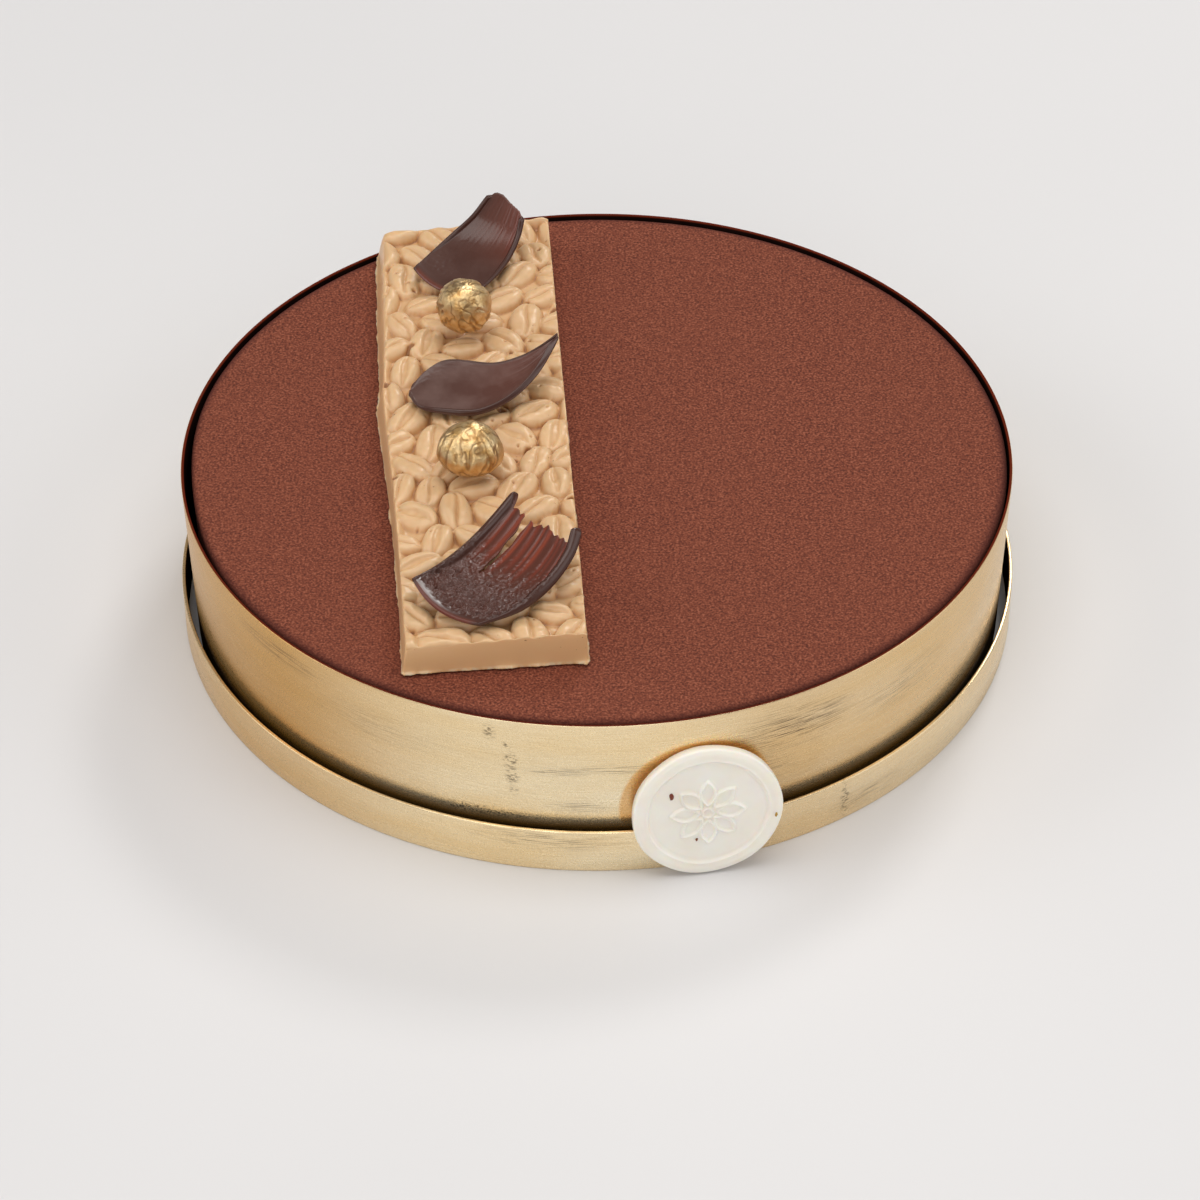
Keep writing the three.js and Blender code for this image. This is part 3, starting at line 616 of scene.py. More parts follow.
def fleck_material(name, colour):
    """A crumb of dried fruit caught in the white chocolate: dull and deep in colour."""
    material, tree, shader, place = finish(name, Roughness=0.7)
    drift = node(tree, "ShaderNodeTexNoise", {"Vector": place, "Scale": per_metre(0.6)})
    shade = node(tree, "ShaderNodeMix", {"Factor": drift, "A": linear(colour), "B": linear("#7a4a30")},
                 data_type="RGBA")
    feed(tree, shader, Base_Color=shade)
    return material


def gilded_nut_material():
    """Gold lustre over a roasted hazelnut's skin: bright satin metal on the ridges, with the brown
    skin showing through in the wrinkles."""
    material, tree, shader, place = finish("gold_lustre_on_hazelnut", Metallic=0.9, Roughness=0.38)
    groove = node(tree, "ShaderNodeAttribute", attribute_name="groove").outputs["Fac"]
    drift = node(tree, "ShaderNodeTexNoise", {"Vector": place, "Scale": per_metre(2.2), "Detail": 4.0})
    gold = node(tree, "ShaderNodeValToRGB", {"Fac": drift}, stops=[(0.3, "#cea365"), (0.7, "#eed4a4")])
    worn = node(tree, "ShaderNodeMix", {
        "Factor": node(tree, MATH, {0: groove, 1: 0.65}, operation="MULTIPLY"),
        "A": gold, "B": linear("#7d5226")}, data_type="RGBA")
    skin = node(tree, "ShaderNodeTexNoise", {"Vector": place, "Scale": per_metre(0.6), "Detail": 3.0})
    bump = node(tree, "ShaderNodeBump", {"Height": skin, "Strength": 0.6, "Distance": 0.28 * MM})
    feed(tree, shader, Base_Color=worn, Normal=bump)
    return material


def floor_material():
    """Plain pale studio board, matt, with the faintest mottling."""
    material, tree, shader, place = finish("studio_board", Roughness=0.6)
    drift = node(tree, "ShaderNodeTexNoise", {"Vector": place, "Scale": per_metre(300)})
    tone = node(tree, "ShaderNodeValToRGB", {"Fac": drift}, stops=[(0.3, "#d3d2d3"), (0.7, "#d7d6d7")])
    feed(tree, shader, Base_Color=tone)
    return material


VELVET = velvet_material()
GOLD_DUST = gold_dust_material()
BAND_CHOCOLATE = band_chocolate_material()
PRALINE = praline_material()
CURL_CHOCOLATE = curl_material()
WHITE_CHOCOLATE = white_chocolate_material()
GILDED_NUT = gilded_nut_material()


# The velvet cake

def velvet_tree():
    """Raises a sprayed grain over a coat, and sows larger droplets on its top."""
    tree, given = new_tree("velvet_spray", Grain="Float", Rise="Float", Droplet="Float", Density="Float",
                           Seed="Int", Finish="Material")
    scale = node(tree, MATH, {0: 1.0, 1: given["Grain"]}, operation="DIVIDE")
    grain = node(tree, "ShaderNodeTexNoise", {"Scale": scale, "Detail": 2.0, "Roughness": 0.55})
    centred = node(tree, MATH, {0: grain, 1: 0.5}, operation="SUBTRACT")
    rise = node(tree, MATH, {0: centred, 1: given["Rise"]}, operation="MULTIPLY")
    normal = node(tree, "GeometryNodeInputNormal")
    outward = node(tree, VECTOR, {"Vector": normal, "Scale": rise}, operation="SCALE")
    coat = node(tree, "GeometryNodeInputNamedAttribute", {"Name": "coat"}, data_type="FLOAT")
    coated = node(tree, MATH, {0: coat, 1: 0.5}, operation="GREATER_THAN")
    sprayed = node(tree, "GeometryNodeSetPosition", {"Geometry": given["Geometry"], "Selection": coated,
                                                     "Offset": outward})
    up = node(tree, "ShaderNodeSeparateXYZ", {0: normal})
    is_top = node(tree, MATH, {0: up.outputs["Z"], 1: 0.5}, operation="GREATER_THAN")
    sown = node(tree, "GeometryNodeDistributePointsOnFaces", {
        "Mesh": sprayed, "Selection": is_top, "Density": given["Density"], "Seed": given["Seed"]})
    ball = node(tree, "GeometryNodeMeshIcoSphere", {"Radius": given["Droplet"], "Subdivisions": 1})
    size = node(tree, "FunctionNodeRandomValue", {"Min": 0.4, "Max": 1.0, "Seed": given["Seed"]},
                data_type="FLOAT")
    droplets = node(tree, "GeometryNodeInstanceOnPoints", {"Points": sown.outputs["Points"],
                                                           "Instance": ball, "Scale": size})
    joined = node(tree, "GeometryNodeJoinGeometry", {"Geometry": droplets})
    tree.links.new(sprayed.outputs[0], joined.inputs[0])
    return end_tree(tree, joined, given["Finish"])


def cake_top_radius(angle):
    """The cake's radius at its top: it stays a little short of the collar on two sides."""
    radius = np.full_like(angle, CAKE_RADIUS)
    for direction, depth, spread in CAKE_DIPS:
        away = (angle - math.radians(direction) + math.pi) % (2 * math.pi) - math.pi
        radius -= depth * np.exp(-0.5 * (away / math.radians(spread)) ** 2)
    return radius


def cake_start():
    """The cake's smooth form: a fine grid over its top, rolled over the edge and down its side."""
    sides = 256
    x, y = disc_points(sides)
    angle = np.arctan2(y, x)
    reach = np.hypot(x, y) * (cake_top_radius(angle) - CAKE_EDGE_ROUND)
    points = [np.stack([reach * np.cos(angle), reach * np.sin(angle), np.full_like(x, CAKE_TOP)], -1)]
    rim = rim_of_grid(sides, sides)
    # Down the side: how far in from the full radius, and how high.
    path = [(CAKE_EDGE_ROUND * (1 - math.sin(turn)), CAKE_TOP - CAKE_EDGE_ROUND * (1 - math.cos(turn)))
            for turn in np.linspace(0, math.pi / 2, 7)[1:]]
    path += [(0, CAKE_TOP - 6), (0, CAKE_TOP / 2), (0, 0.5), (0.5, 0)]
    for inset, z in path:
        ring = cake_top_radius(angle[rim]) - inset - CAKE_FLARE * (CAKE_TOP - z)
        points.append(np.stack([ring * np.cos(angle[rim]), ring * np.sin(angle[rim]),
                                np.full_like(ring, z)], -1))
    faces = grid_faces(sides, sides) + skirt_faces(rim, len(x), len(path))
    points = np.concatenate(points)
    return mesh_from("cake_start", points, faces, coat=points[:, 2] > 1)


# The bands

def band_tree():
    """Sweeps a thin upright section round a circle, flares it and lets it waver a little. Faces that
    look outwards more than a given share are gold, and the rest are bare."""
    tree, given = new_tree("wrapped_band", Height="Float", Top="Float", Foot="Float", Thickness="Float",
                           Edge="Float", Waver="Float", Gilt_From="Float", Sides="Int", Phase="Float",
                           Gold="Material", Chocolate="Material")
    circle = node(tree, "GeometryNodeCurvePrimitiveCircle", {"Resolution": given["Sides"],
                                                             "Radius": given["Top"]})
    section = node(tree, "GeometryNodeCurvePrimitiveQuadrilateral", {"Width": given["Thickness"],
                                                                     "Height": given["Height"]})
    rounded = node(tree, "GeometryNodeFilletCurve", {"Curve": section, "Radius": given["Edge"], "Count": 3},
                   mode="POLY")
    swept = node(tree, "GeometryNodeCurveToMesh", {"Curve": circle, "Profile Curve": rounded})
    half_height = node(tree, MATH, {0: given["Height"], 1: 0.5}, operation="MULTIPLY")
    standing = node(tree, "GeometryNodeTransform", {
        "Geometry": swept, "Translation": node(tree, "ShaderNodeCombineXYZ", {"Z": half_height})})
    place = node(tree, "GeometryNodeInputPosition")
    height = node(tree, "ShaderNodeSeparateXYZ", {0: place}).outputs["Z"]
    narrowing = node(tree, MATH, {0: given["Foot"], 1: given["Top"]}, operation="SUBTRACT")
    flare = node(tree, "ShaderNodeMapRange", {"Value": height, "From Max": given["Height"],
                                              "To Min": narrowing, "To Max": 0.0})
    flat = node(tree, VECTOR, {0: place, 1: (1, 1, 0)}, operation="MULTIPLY")
    ray = node(tree, VECTOR, {0: flat}, operation="NORMALIZE")
    moved = node(tree, VECTOR, {0: ray, 1: given["Phase"]}, operation="ADD")
    waver = node(tree, "ShaderNodeTexNoise", {"Vector": moved, "Scale": 2.2, "Detail": 1.0})
    centred = node(tree, MATH, {0: waver, 1: 0.5}, operation="SUBTRACT")
    swing = node(tree, MATH, {0: centred, 1: given["Waver"], 2: flare}, operation="MULTIPLY_ADD")
    shift = node(tree, MATH, {0: given["Thickness"], 1: -0.5, 2: swing}, operation="MULTIPLY_ADD")
    outward = node(tree, VECTOR, {"Vector": ray, "Scale": shift}, operation="SCALE")
    flared = node(tree, "GeometryNodeSetPosition", {"Geometry": standing, "Offset": outward})
    real = node(tree, "GeometryNodeRealizeInstances", {"Geometry": flared})
    facing = node(tree, VECTOR, {0: node(tree, "GeometryNodeInputNormal"), 1: ray},
                  operation="DOT_PRODUCT")
    is_outside = node(tree, MATH, {0: facing.outputs["Value"], 1: given["Gilt_From"]},
                      operation="GREATER_THAN")
    bare = node(tree, "GeometryNodeSetMaterial", {"Geometry": real, "Material": given["Chocolate"]})
    gilt = node(tree, "GeometryNodeSetMaterial", {"Geometry": bare, "Selection": is_outside,
                                                  "Material": given["Gold"]})
    node(tree, "NodeGroupOutput", {"Geometry": gilt})
    return tree


# The praline bar

def bean_bed():
    """Beans in rows, then pushed apart until they lie side by side, as in the solid."""
    random = random_source(BEAN_SEED)
    half_x = BAR_WIDTH / 2 + BEAN_OVERHANG
    half_y = BAR_LENGTH / 2 + BEAN_OVERHANG
    bed = []
    for row in range(BEAN_ALONG):
        for column in range(BEAN_ACROSS):
            stagger = 0.75 if row % 2 else 0.25
            across = column + stagger + BEAN_JITTER * (next(random) - 0.5)
            along = row + 0.5 + BEAN_JITTER * (next(random) - 0.5)
            x = -half_x + 2 * half_x * across / BEAN_ACROSS
            y = -half_y + 2 * half_y * along / BEAN_ALONG
            turn = math.pi * next(random)
            bed.append([x, y, turn, 1 + BEAN_SPREAD * (2 * next(random) - 1)])
    disc = BEAN_WIDTH / 2 - BEAN_PRESSED
    arm = (BEAN_LENGTH - BEAN_WIDTH) / 2
    touching = 2 * (disc + arm) * (1 + BEAN_SPREAD)
    for _ in range(BEAN_SETTLE_STEPS):
        for i, one in enumerate(bed):
            for other in bed[i + 1:]:
                if math.hypot(one[0] - other[0], one[1] - other[1]) <= touching:
                    settle_pair(one, other, disc, arm)
        for one in bed:
            one[0] = min(max(one[0], -half_x), half_x)
            one[1] = min(max(one[1], -half_y), half_y)
    return bed


def settle_pair(one, other, disc, arm):
    """Pushes two beans apart where the discs at their ends overlap, and twists them as it does."""
    reach = disc * (one[3] + other[3])
    for a in (-arm, arm):
        for b in (-arm, arm):
            ax, ay = a * one[3] * math.cos(one[2]), a * one[3] * math.sin(one[2])
            bx, by = b * other[3] * math.cos(other[2]), b * other[3] * math.sin(other[2])
            dx, dy = one[0] + ax - other[0] - bx, one[1] + ay - other[1] - by
            distance = math.hypot(dx, dy)
            if distance >= reach or distance < 1e-6:
                continue
            push = BEAN_PUSH * (reach - distance) / distance
            one[0] += push * dx
            one[1] += push * dy
            other[0] -= push * dx
            other[1] -= push * dy
            one[2] += BEAN_TWIST * push * (ax * dy - ay * dx)
            other[2] -= BEAN_TWIST * push * (bx * dy - by * dx)


def bean_mesh(name, opening, depth, bend):
    """A bean as the mould shows it: a flattened pillow with a curved crease along it, open like a
    lens for some and a mere slit for others."""
    columns, rows = 64, 46
    u, v = np.meshgrid(np.linspace(-1, 1, columns + 1), np.linspace(-1, 1, rows + 1))
    # Square grid to round outline, so that the rim follows the bean's edge.
    x = u * np.sqrt(1 - v ** 2 / 2)
    y = v * np.sqrt(1 - u ** 2 / 2)
    outward = np.minimum(np.abs(x) ** BEAN_ROUNDNESS + np.abs(y) ** BEAN_ROUNDNESS, 1)
    rise = (BAR_CREST - BAR_PIT) * np.sqrt(1 - outward ** 1.5)
    to_crease = np.abs(y - bend * np.sin(2.6 * x)) * BEAN_WIDTH / 2
    mouth = opening * np.clip(1 - (x / 0.85) ** 2, 0, 1)
    run_out = np.clip((0.97 - np.abs(x)) / 0.2, 0, 1)
    rise -= depth * (1 - smooth_step(to_crease, mouth - 0.1, mouth + 0.35)) * run_out
    rise -= 0.3 * np.exp(-(to_crease / 1.7) ** 2) * run_out
    points = np.stack([x * BEAN_LENGTH / 2, y * BEAN_WIDTH / 2, rise], -1).reshape(-1, 3)
    return mesh_from(name, points, grid_faces(columns, rows))


def bar_tree():
    """Lays beans on a bed of points, lets a sheet fall on them as the caramel lay in its mould, and
    pits it with the bubbles that were caught there."""
    tree, given = new_tree("moulded_beans", Bed="Object", Bean_A="Object", Bean_B="Object", Bean_C="Object",
                           Foot="Float", Pit="Float", Lump="Float", Lump_Size="Float", Bubbles="Float",
                           Bubble="Float", Seed="Int", Finish="Material")
    bed = node(tree, "GeometryNodeObjectInfo", {"Object": given["Bed"]})
    kinds = node(tree, "GeometryNodeJoinGeometry")
    for label in ("Bean_A", "Bean_B", "Bean_C"):
        bean = node(tree, "GeometryNodeObjectInfo", {"Object": given[label], "As Instance": True})
        tree.links.new(bean.outputs["Geometry"], kinds.inputs[0])
    own = {label: node(tree, "GeometryNodeInputNamedAttribute", {"Name": label}, data_type="FLOAT")
           for label in ("turn", "size", "root_x", "root_y", "fill", "cap", "share", "lift", "bubble")}
    tilt = node(tree, "FunctionNodeRandomValue", {"Min": (-0.18, -0.13, 0), "Max": (0.18, 0.13, 0),
                                                  "Seed": given["Seed"]}, data_type="FLOAT_VECTOR")
    turned = node(tree, VECTOR, {0: tilt, 1: node(tree, "ShaderNodeCombineXYZ", {"Z": own["turn"]})},
                  operation="ADD")
    build = node(tree, "FunctionNodeRandomValue", {"Min": (0.94, 0.88, 0.8), "Max": (1.16, 1.08, 1.08),
                                                   "Seed": given["Seed"]}, data_type="FLOAT_VECTOR")
    stretched = node(tree, VECTOR, {"Vector": build, "Scale": own["size"]}, operation="SCALE")
    kind = node(tree, "FunctionNodeRandomValue", {"Min": 0, "Max": 2, "Seed": given["Seed"]},
                data_type="INT")
    laid = node(tree, "GeometryNodeInstanceOnPoints", {
        "Points": bed.outputs["Geometry"], "Instance": kinds, "Pick Instance": True, "Instance Index": kind,
        "Rotation": turned, "Scale": stretched})
    beans = node(tree, "GeometryNodeRealizeInstances", {"Geometry": laid})
    # The walls take their height from the rim above them, so every point is looked up at its root.
    high_up = 0.1
    above = node(tree, "ShaderNodeCombineXYZ", {"X": own["root_x"], "Y": own["root_y"], "Z": high_up})
    fallen = node(tree, "GeometryNodeRaycast", {
        "Target Geometry": beans, "Source Position": above, "Ray Direction": (0, 0, -1),
        "Ray Length": 2 * high_up})
    hit = node(tree, "ShaderNodeSeparateXYZ", {0: fallen.outputs["Hit Position"]})
    level = node(tree, "GeometryNodeSwitch", {"Switch": fallen.outputs["Is Hit"], "True": hit.outputs["Z"]},
                 input_type="FLOAT")
    lumpiness = node(tree, "ShaderNodeTexNoise", {
        "Vector": above, "Detail": 2.0,
        "Scale": node(tree, MATH, {0: 1.0, 1: given["Lump_Size"]}, operation="DIVIDE")})
    centred = node(tree, MATH, {0: lumpiness, 1: 0.5}, operation="SUBTRACT")
    lump = node(tree, MATH, {0: centred, 1: given["Lump"], 2: level}, operation="MULTIPLY_ADD")
    filled = node(tree, MATH, {0: lump, 1: own["fill"]}, operation="MAXIMUM")
    capped = node(tree, MATH, {0: filled, 1: own["cap"], 2: 0.4 * MM}, operation="SMOOTH_MIN")
    soft = node(tree, "GeometryNodeBlurAttribute", {"Value": capped, "Iterations": 1}, data_type="FLOAT")
    wide = node(tree, "GeometryNodeBlurAttribute", {"Value": capped, "Iterations": 10}, data_type="FLOAT")
    is_top = node(tree, MATH, {0: own["share"], 1: 0.99}, operation="GREATER_THAN")
    spots = node(tree, "GeometryNodeDistributePointsOnFaces", {
        "Mesh": given["Geometry"], "Selection": is_top, "Density": given["Bubbles"], "Seed": given["Seed"]})
    root_flat = node(tree, "ShaderNodeCombineXYZ", {"X": own["root_x"], "Y": own["root_y"]})
    spot_place = node(tree, VECTOR, {0: node(tree, "GeometryNodeInputPosition"), 1: (1, 1, 0)},
                      operation="MULTIPLY")
    # Most bubbles are small, and a few are four times as wide.
    chance = node(tree, "FunctionNodeRandomValue", {"Min": 0.0, "Max": 1.0, "Seed": given["Seed"]},
                  data_type="FLOAT")
    rare = node(tree, MATH, {0: chance, 1: 5.0}, operation="POWER")
    bubble_size = node(tree, MATH, {0: rare, 1: 0.75, 2: 0.25}, operation="MULTIPLY_ADD")
    sized = node(tree, "GeometryNodeStoreNamedAttribute", {
        "Geometry": spots.outputs["Points"], "Name": "bubble",
        "Value": node(tree, MATH, {0: bubble_size, 1: given["Bubble"]}, operation="MULTIPLY")},
        data_type="FLOAT", domain="POINT")
    flattened = node(tree, "GeometryNodeSetPosition", {"Geometry": sized, "Position": spot_place})
    near = node(tree, "GeometryNodeSampleNearest", {"Geometry": flattened, "Sample Position": root_flat},
                domain="POINT")
    middle = node(tree, "GeometryNodeSampleIndex", {
        "Geometry": flattened, "Value": node(tree, "GeometryNodeInputPosition"), "Index": near},
        data_type="FLOAT_VECTOR", domain="POINT")
    reach = node(tree, "GeometryNodeSampleIndex", {
        "Geometry": flattened, "Value": own["bubble"], "Index": near}, data_type="FLOAT", domain="POINT")
    apart = node(tree, VECTOR, {0: middle, 1: root_flat}, operation="DISTANCE")
    inside = node(tree, MATH, {0: apart.outputs["Value"], 1: reach}, operation="DIVIDE")
    bowl = node(tree, "ShaderNodeMapRange", {"Value": inside, "From Min": 1.0, "From Max": 0.45,
                                             "To Max": reach}, interpolation_type="SMOOTHSTEP")
    dent = node(tree, MATH, {0: bowl, 1: 1.15}, operation="MULTIPLY")
    relief = node(tree, MATH, {0: soft, 1: dent}, operation="SUBTRACT")
    hollow = node(tree, MATH, {0: wide, 1: relief}, operation="SUBTRACT")
    # The depth that the painted shade follows, in millimetres, and one even depth for the walls.
    in_mm = node(tree, MATH, {0: hollow, 1: 1 / MM}, operation="MULTIPLY")
    shade_tinted = node(tree, "GeometryNodeSwitch", {"Switch": is_top, "False": -0.05, "True": in_mm},
                  input_type="FLOAT")
    noted = node(tree, "GeometryNodeStoreNamedAttribute", {
        "Geometry": given["Geometry"], "Name": "hollow", "Value": shade_tinted}, data_type="FLOAT", domain="POINT")
    height = node(tree, MATH, {0: relief, 1: given["Pit"]}, operation="ADD")
    lifted = node(tree, MATH, {0: height, 1: own["share"], 2: own["lift"]}, operation="MULTIPLY_ADD")
    over_foot = node(tree, MATH, {0: lifted, 1: given["Foot"]}, operation="ADD")
    cast = node(tree, "GeometryNodeSetPosition", {
        "Geometry": noted, "Offset": node(tree, "ShaderNodeCombineXYZ", {"Z": over_foot})})
    return end_tree(tree, cast, given["Finish"])


def bar_start():
    """The bar before its top is moulded, laid flat: a fine grid, four walls round it and a foot that
    runs out in a thin uneven flash."""
    columns, rows = 146, 580
    u, v = np.meshgrid(np.linspace(-0.5, 0.5, columns + 1), np.linspace(0, 1, rows + 1))
    u, v = u.ravel(), v.ravel()
    swell = np.interp((v - 0.5) * BAR_LENGTH, BAR_PLACES, BAR_SWELL_LEFT)
    x = u * BAR_WIDTH - (0.5 - u) * swell
    front = -BAR_LENGTH / 2 + x * math.tan(math.radians(BAR_FRONT_SKEW))
    back = BAR_LENGTH / 2 + x * math.tan(math.radians(BAR_BACK_SKEW))
    y = front + (back - front) * v
    to_side = (0.5 - np.abs(u)) * BAR_WIDTH
    to_cut = np.minimum(v, 1 - v) * BAR_LENGTH
    uneven = 0.5 * np.sin(0.61 * x + 0.47 * y) + 0.5 * np.sin(1.3 * x - 0.9 * y + 2)
    # Near the long sides the pits are filled and the backs shaved. The cut ends are nearly level,
    # and a little higher on the right.
    cut_level = 1.7 + 1.7 * (u + 0.5) + 0.3 * uneven
    fill = np.maximum((1.5 + 0.35 * uneven) * np.exp(-(to_side / 1.1) ** 2),
                      (cut_level - 0.1) * np.exp(-(to_cut / 0.8) ** 2))
    cap = BAR_CREST - BAR_PIT + 0.4 - np.maximum(0.75 * np.exp(-(to_side / 0.9) ** 2),
                                                 (3.4 - cut_level) * np.exp(-(to_cut / 0.8) ** 2))
    cap -= 0.25 * np.clip(1 - np.minimum(to_side, to_cut) / 0.5, 0, 1) ** 2
    rim = rim_of_grid(columns, rows)
    rim_x, rim_y = x[rim], y[rim]
    along = np.cumsum(np.hypot(np.diff(rim_x, append=rim_x[0]), np.diff(rim_y, append=rim_y[0])))
    ragged = np.array([noise.fractal(Vector((a, b, 9)) * 0.16, 0.8, 2.2, 5)
                       for a, b in zip(rim_x, rim_y)])
    bulge = 0.5 * np.sin(along / 11.0 + 1) + 0.5 * np.sin(along / 4.7)
    off_middle = 2 * np.abs(u[rim])
    is_long = off_middle > 0.999
    draft = np.where(rim_x < 0, np.interp(rim_y, BAR_PLACES, BAR_DRAFT_LEFT), BAR_DRAFT_RIGHT)
    walls = []
    # Each row of the wall: its share of the height, how much of the flash it has, how far it is raised.
    for share, flash, raised in ((0.965, 0, 0), (0.8, 0, 0), (0.55, 0, 0), (0.32, 0, 0), (0.16, 0.12, 0),
                                 (0.08, 0.5, 0.0), (0.035, 1, 0.12), (0.0, 0.75, 0.28)):
        widened = draft * (1 - share) ** 0.65 * off_middle
        out = (0.12 * bulge * share * (1 - share) * 4 + 0.04
               + flash * np.where(is_long, 0.5, 1) * np.maximum(0.1, 0.35 + 1.2 * ragged))
        walls.append((rim_x + np.sign(rim_x) * (widened + np.where(is_long, out, 0)),
                      rim_y + np.sign(rim_y) * np.where(is_long, 0, out + 0.15 * (1 - share)),
                      np.full(len(rim), share), raised * (1 + ragged)))
    walls.append((rim_x * 0.97, rim_y * 0.99, np.zeros(len(rim)), np.zeros(len(rim))))
    all_x, all_y, shares, lifts = (np.concatenate([first, *others]) for first, *others in zip(
        (x, y, np.ones(len(x)), np.zeros(len(x))), *walls))
    points = np.stack([all_x, all_y, np.zeros(len(all_x))], -1)
    faces = grid_faces(columns, rows) + skirt_faces(rim, len(x), len(walls))
    root = {label: np.concatenate([values] + [values[rim]] * len(walls)) for label, values in (
        ("root_x", x * MM), ("root_y", y * MM), ("fill", fill * MM), ("cap", cap * MM))}
    return mesh_from("bar_start", points, faces, share=shares, lift=lifts * MM, **root)


def make_bar():
    """Lays the beans, casts the bar over them and turns it to where it lies."""
    bed = np.array(bean_bed())
    bed_points = np.column_stack([bed[:, :2], np.zeros(len(bed))])
    helpers = {"Bed": placed("bean_bed", mesh_from("bean_bed", bed_points, [], turn=bed[:, 2],
                                                   size=bed[:, 3]))}
    for letter, kind in zip("ABC", BEAN_KINDS):
        helpers["Bean_" + letter] = placed("bean_" + letter, bean_mesh("bean_" + letter, *kind))
    bar = grown("praline_bar_moulded", bar_tree(), bar_start(), Foot=BAR_FOOT * MM, Pit=BAR_PIT * MM,
                Lump=1.5 * MM, Lump_Size=5 * MM, Bubbles=8000.0, Bubble=1.9 * MM, Seed=11,
                Finish=PRALINE, **helpers)
    for helper in helpers.values():
        bpy.data.objects.remove(helper)
    bar.data.transform(Matrix.Translation((BAR_CENTRE[0] * MM, BAR_CENTRE[1] * MM, 0))
                       @ Matrix.Rotation(math.radians(BAR_TURN), 4, "Z"))
    return bar


# The curls

def bristle_tracks(random, across, along, comb):
    """How deep the bristles cut each place: tracks along the stroke, unevenly spaced and deep, that
    cut in more and more towards its end."""
    tracks = np.linspace(-0.84, 0.8, CURL_TRACKS) + random.uniform(-0.05, 0.05, CURL_TRACKS)
    depths = random.uniform(0.35, 1.0, CURL_TRACKS)
    widths = random.uniform(0.03, 0.065, CURL_TRACKS)
    groove = np.zeros_like(across)
    for track, depth, width in zip(tracks, depths, widths):
        wander = 0.015 * np.sin(4 * along + 9 * track)
        groove = np.maximum(groove, depth * np.exp(-((across - track - wander) / width) ** 2))
    return groove * (comb * np.clip((along - 0.3) / 0.4, 0, 1))


def torn_end(random, across_line, ends, comb):
    """Where the stroke ends on its way along the rails: torn, but for the rolls at the sides, which
    reach further than the sheet between them and round off."""
    from_side = 1 - np.abs(across_line)
    torn = np.interp(across_line, np.linspace(-1, 1, CURL_TEARS), random.uniform(-0.03, 0.015, CURL_TEARS))
    torn *= comb * smooth_step(from_side, 0.08, 0.2)
    end = np.interp(across_line, np.linspace(-1, 1, len(ends)), ends) + torn
    tip = 1 - 0.035 * np.clip(from_side / 0.09 - 1, -1, 1) ** 2
    return end + comb * (tip - end) * (1 - smooth_step(from_side, 0.17, 0.24))


def sheet_faces(columns, rows, cut):
    """Quads over a sheet's upper points and its lower ones, which are stored after them, and the walls
    that join the two all round. Cells named in cut are left open."""
    count = (columns + 1) * (rows + 1)
    cells = {(column, row) for row in range(rows) for column in range(columns)} - cut
    faces = []
    for column, row in sorted(cells):
        first = row * (columns + 1) + column
        loop = [first, first + 1, first + columns + 2, first + columns + 1]
        faces += [loop, [i + count for i in reversed(loop)]]
        beside = [(column, row - 1), (column + 1, row), (column, row + 1), (column - 1, row)]
        for corner, neighbour in enumerate(beside):
            if neighbour not in cells:
                a, b = loop[corner], loop[(corner + 1) % 4]
                faces.append([a, a + count, b + count, b])
    return faces


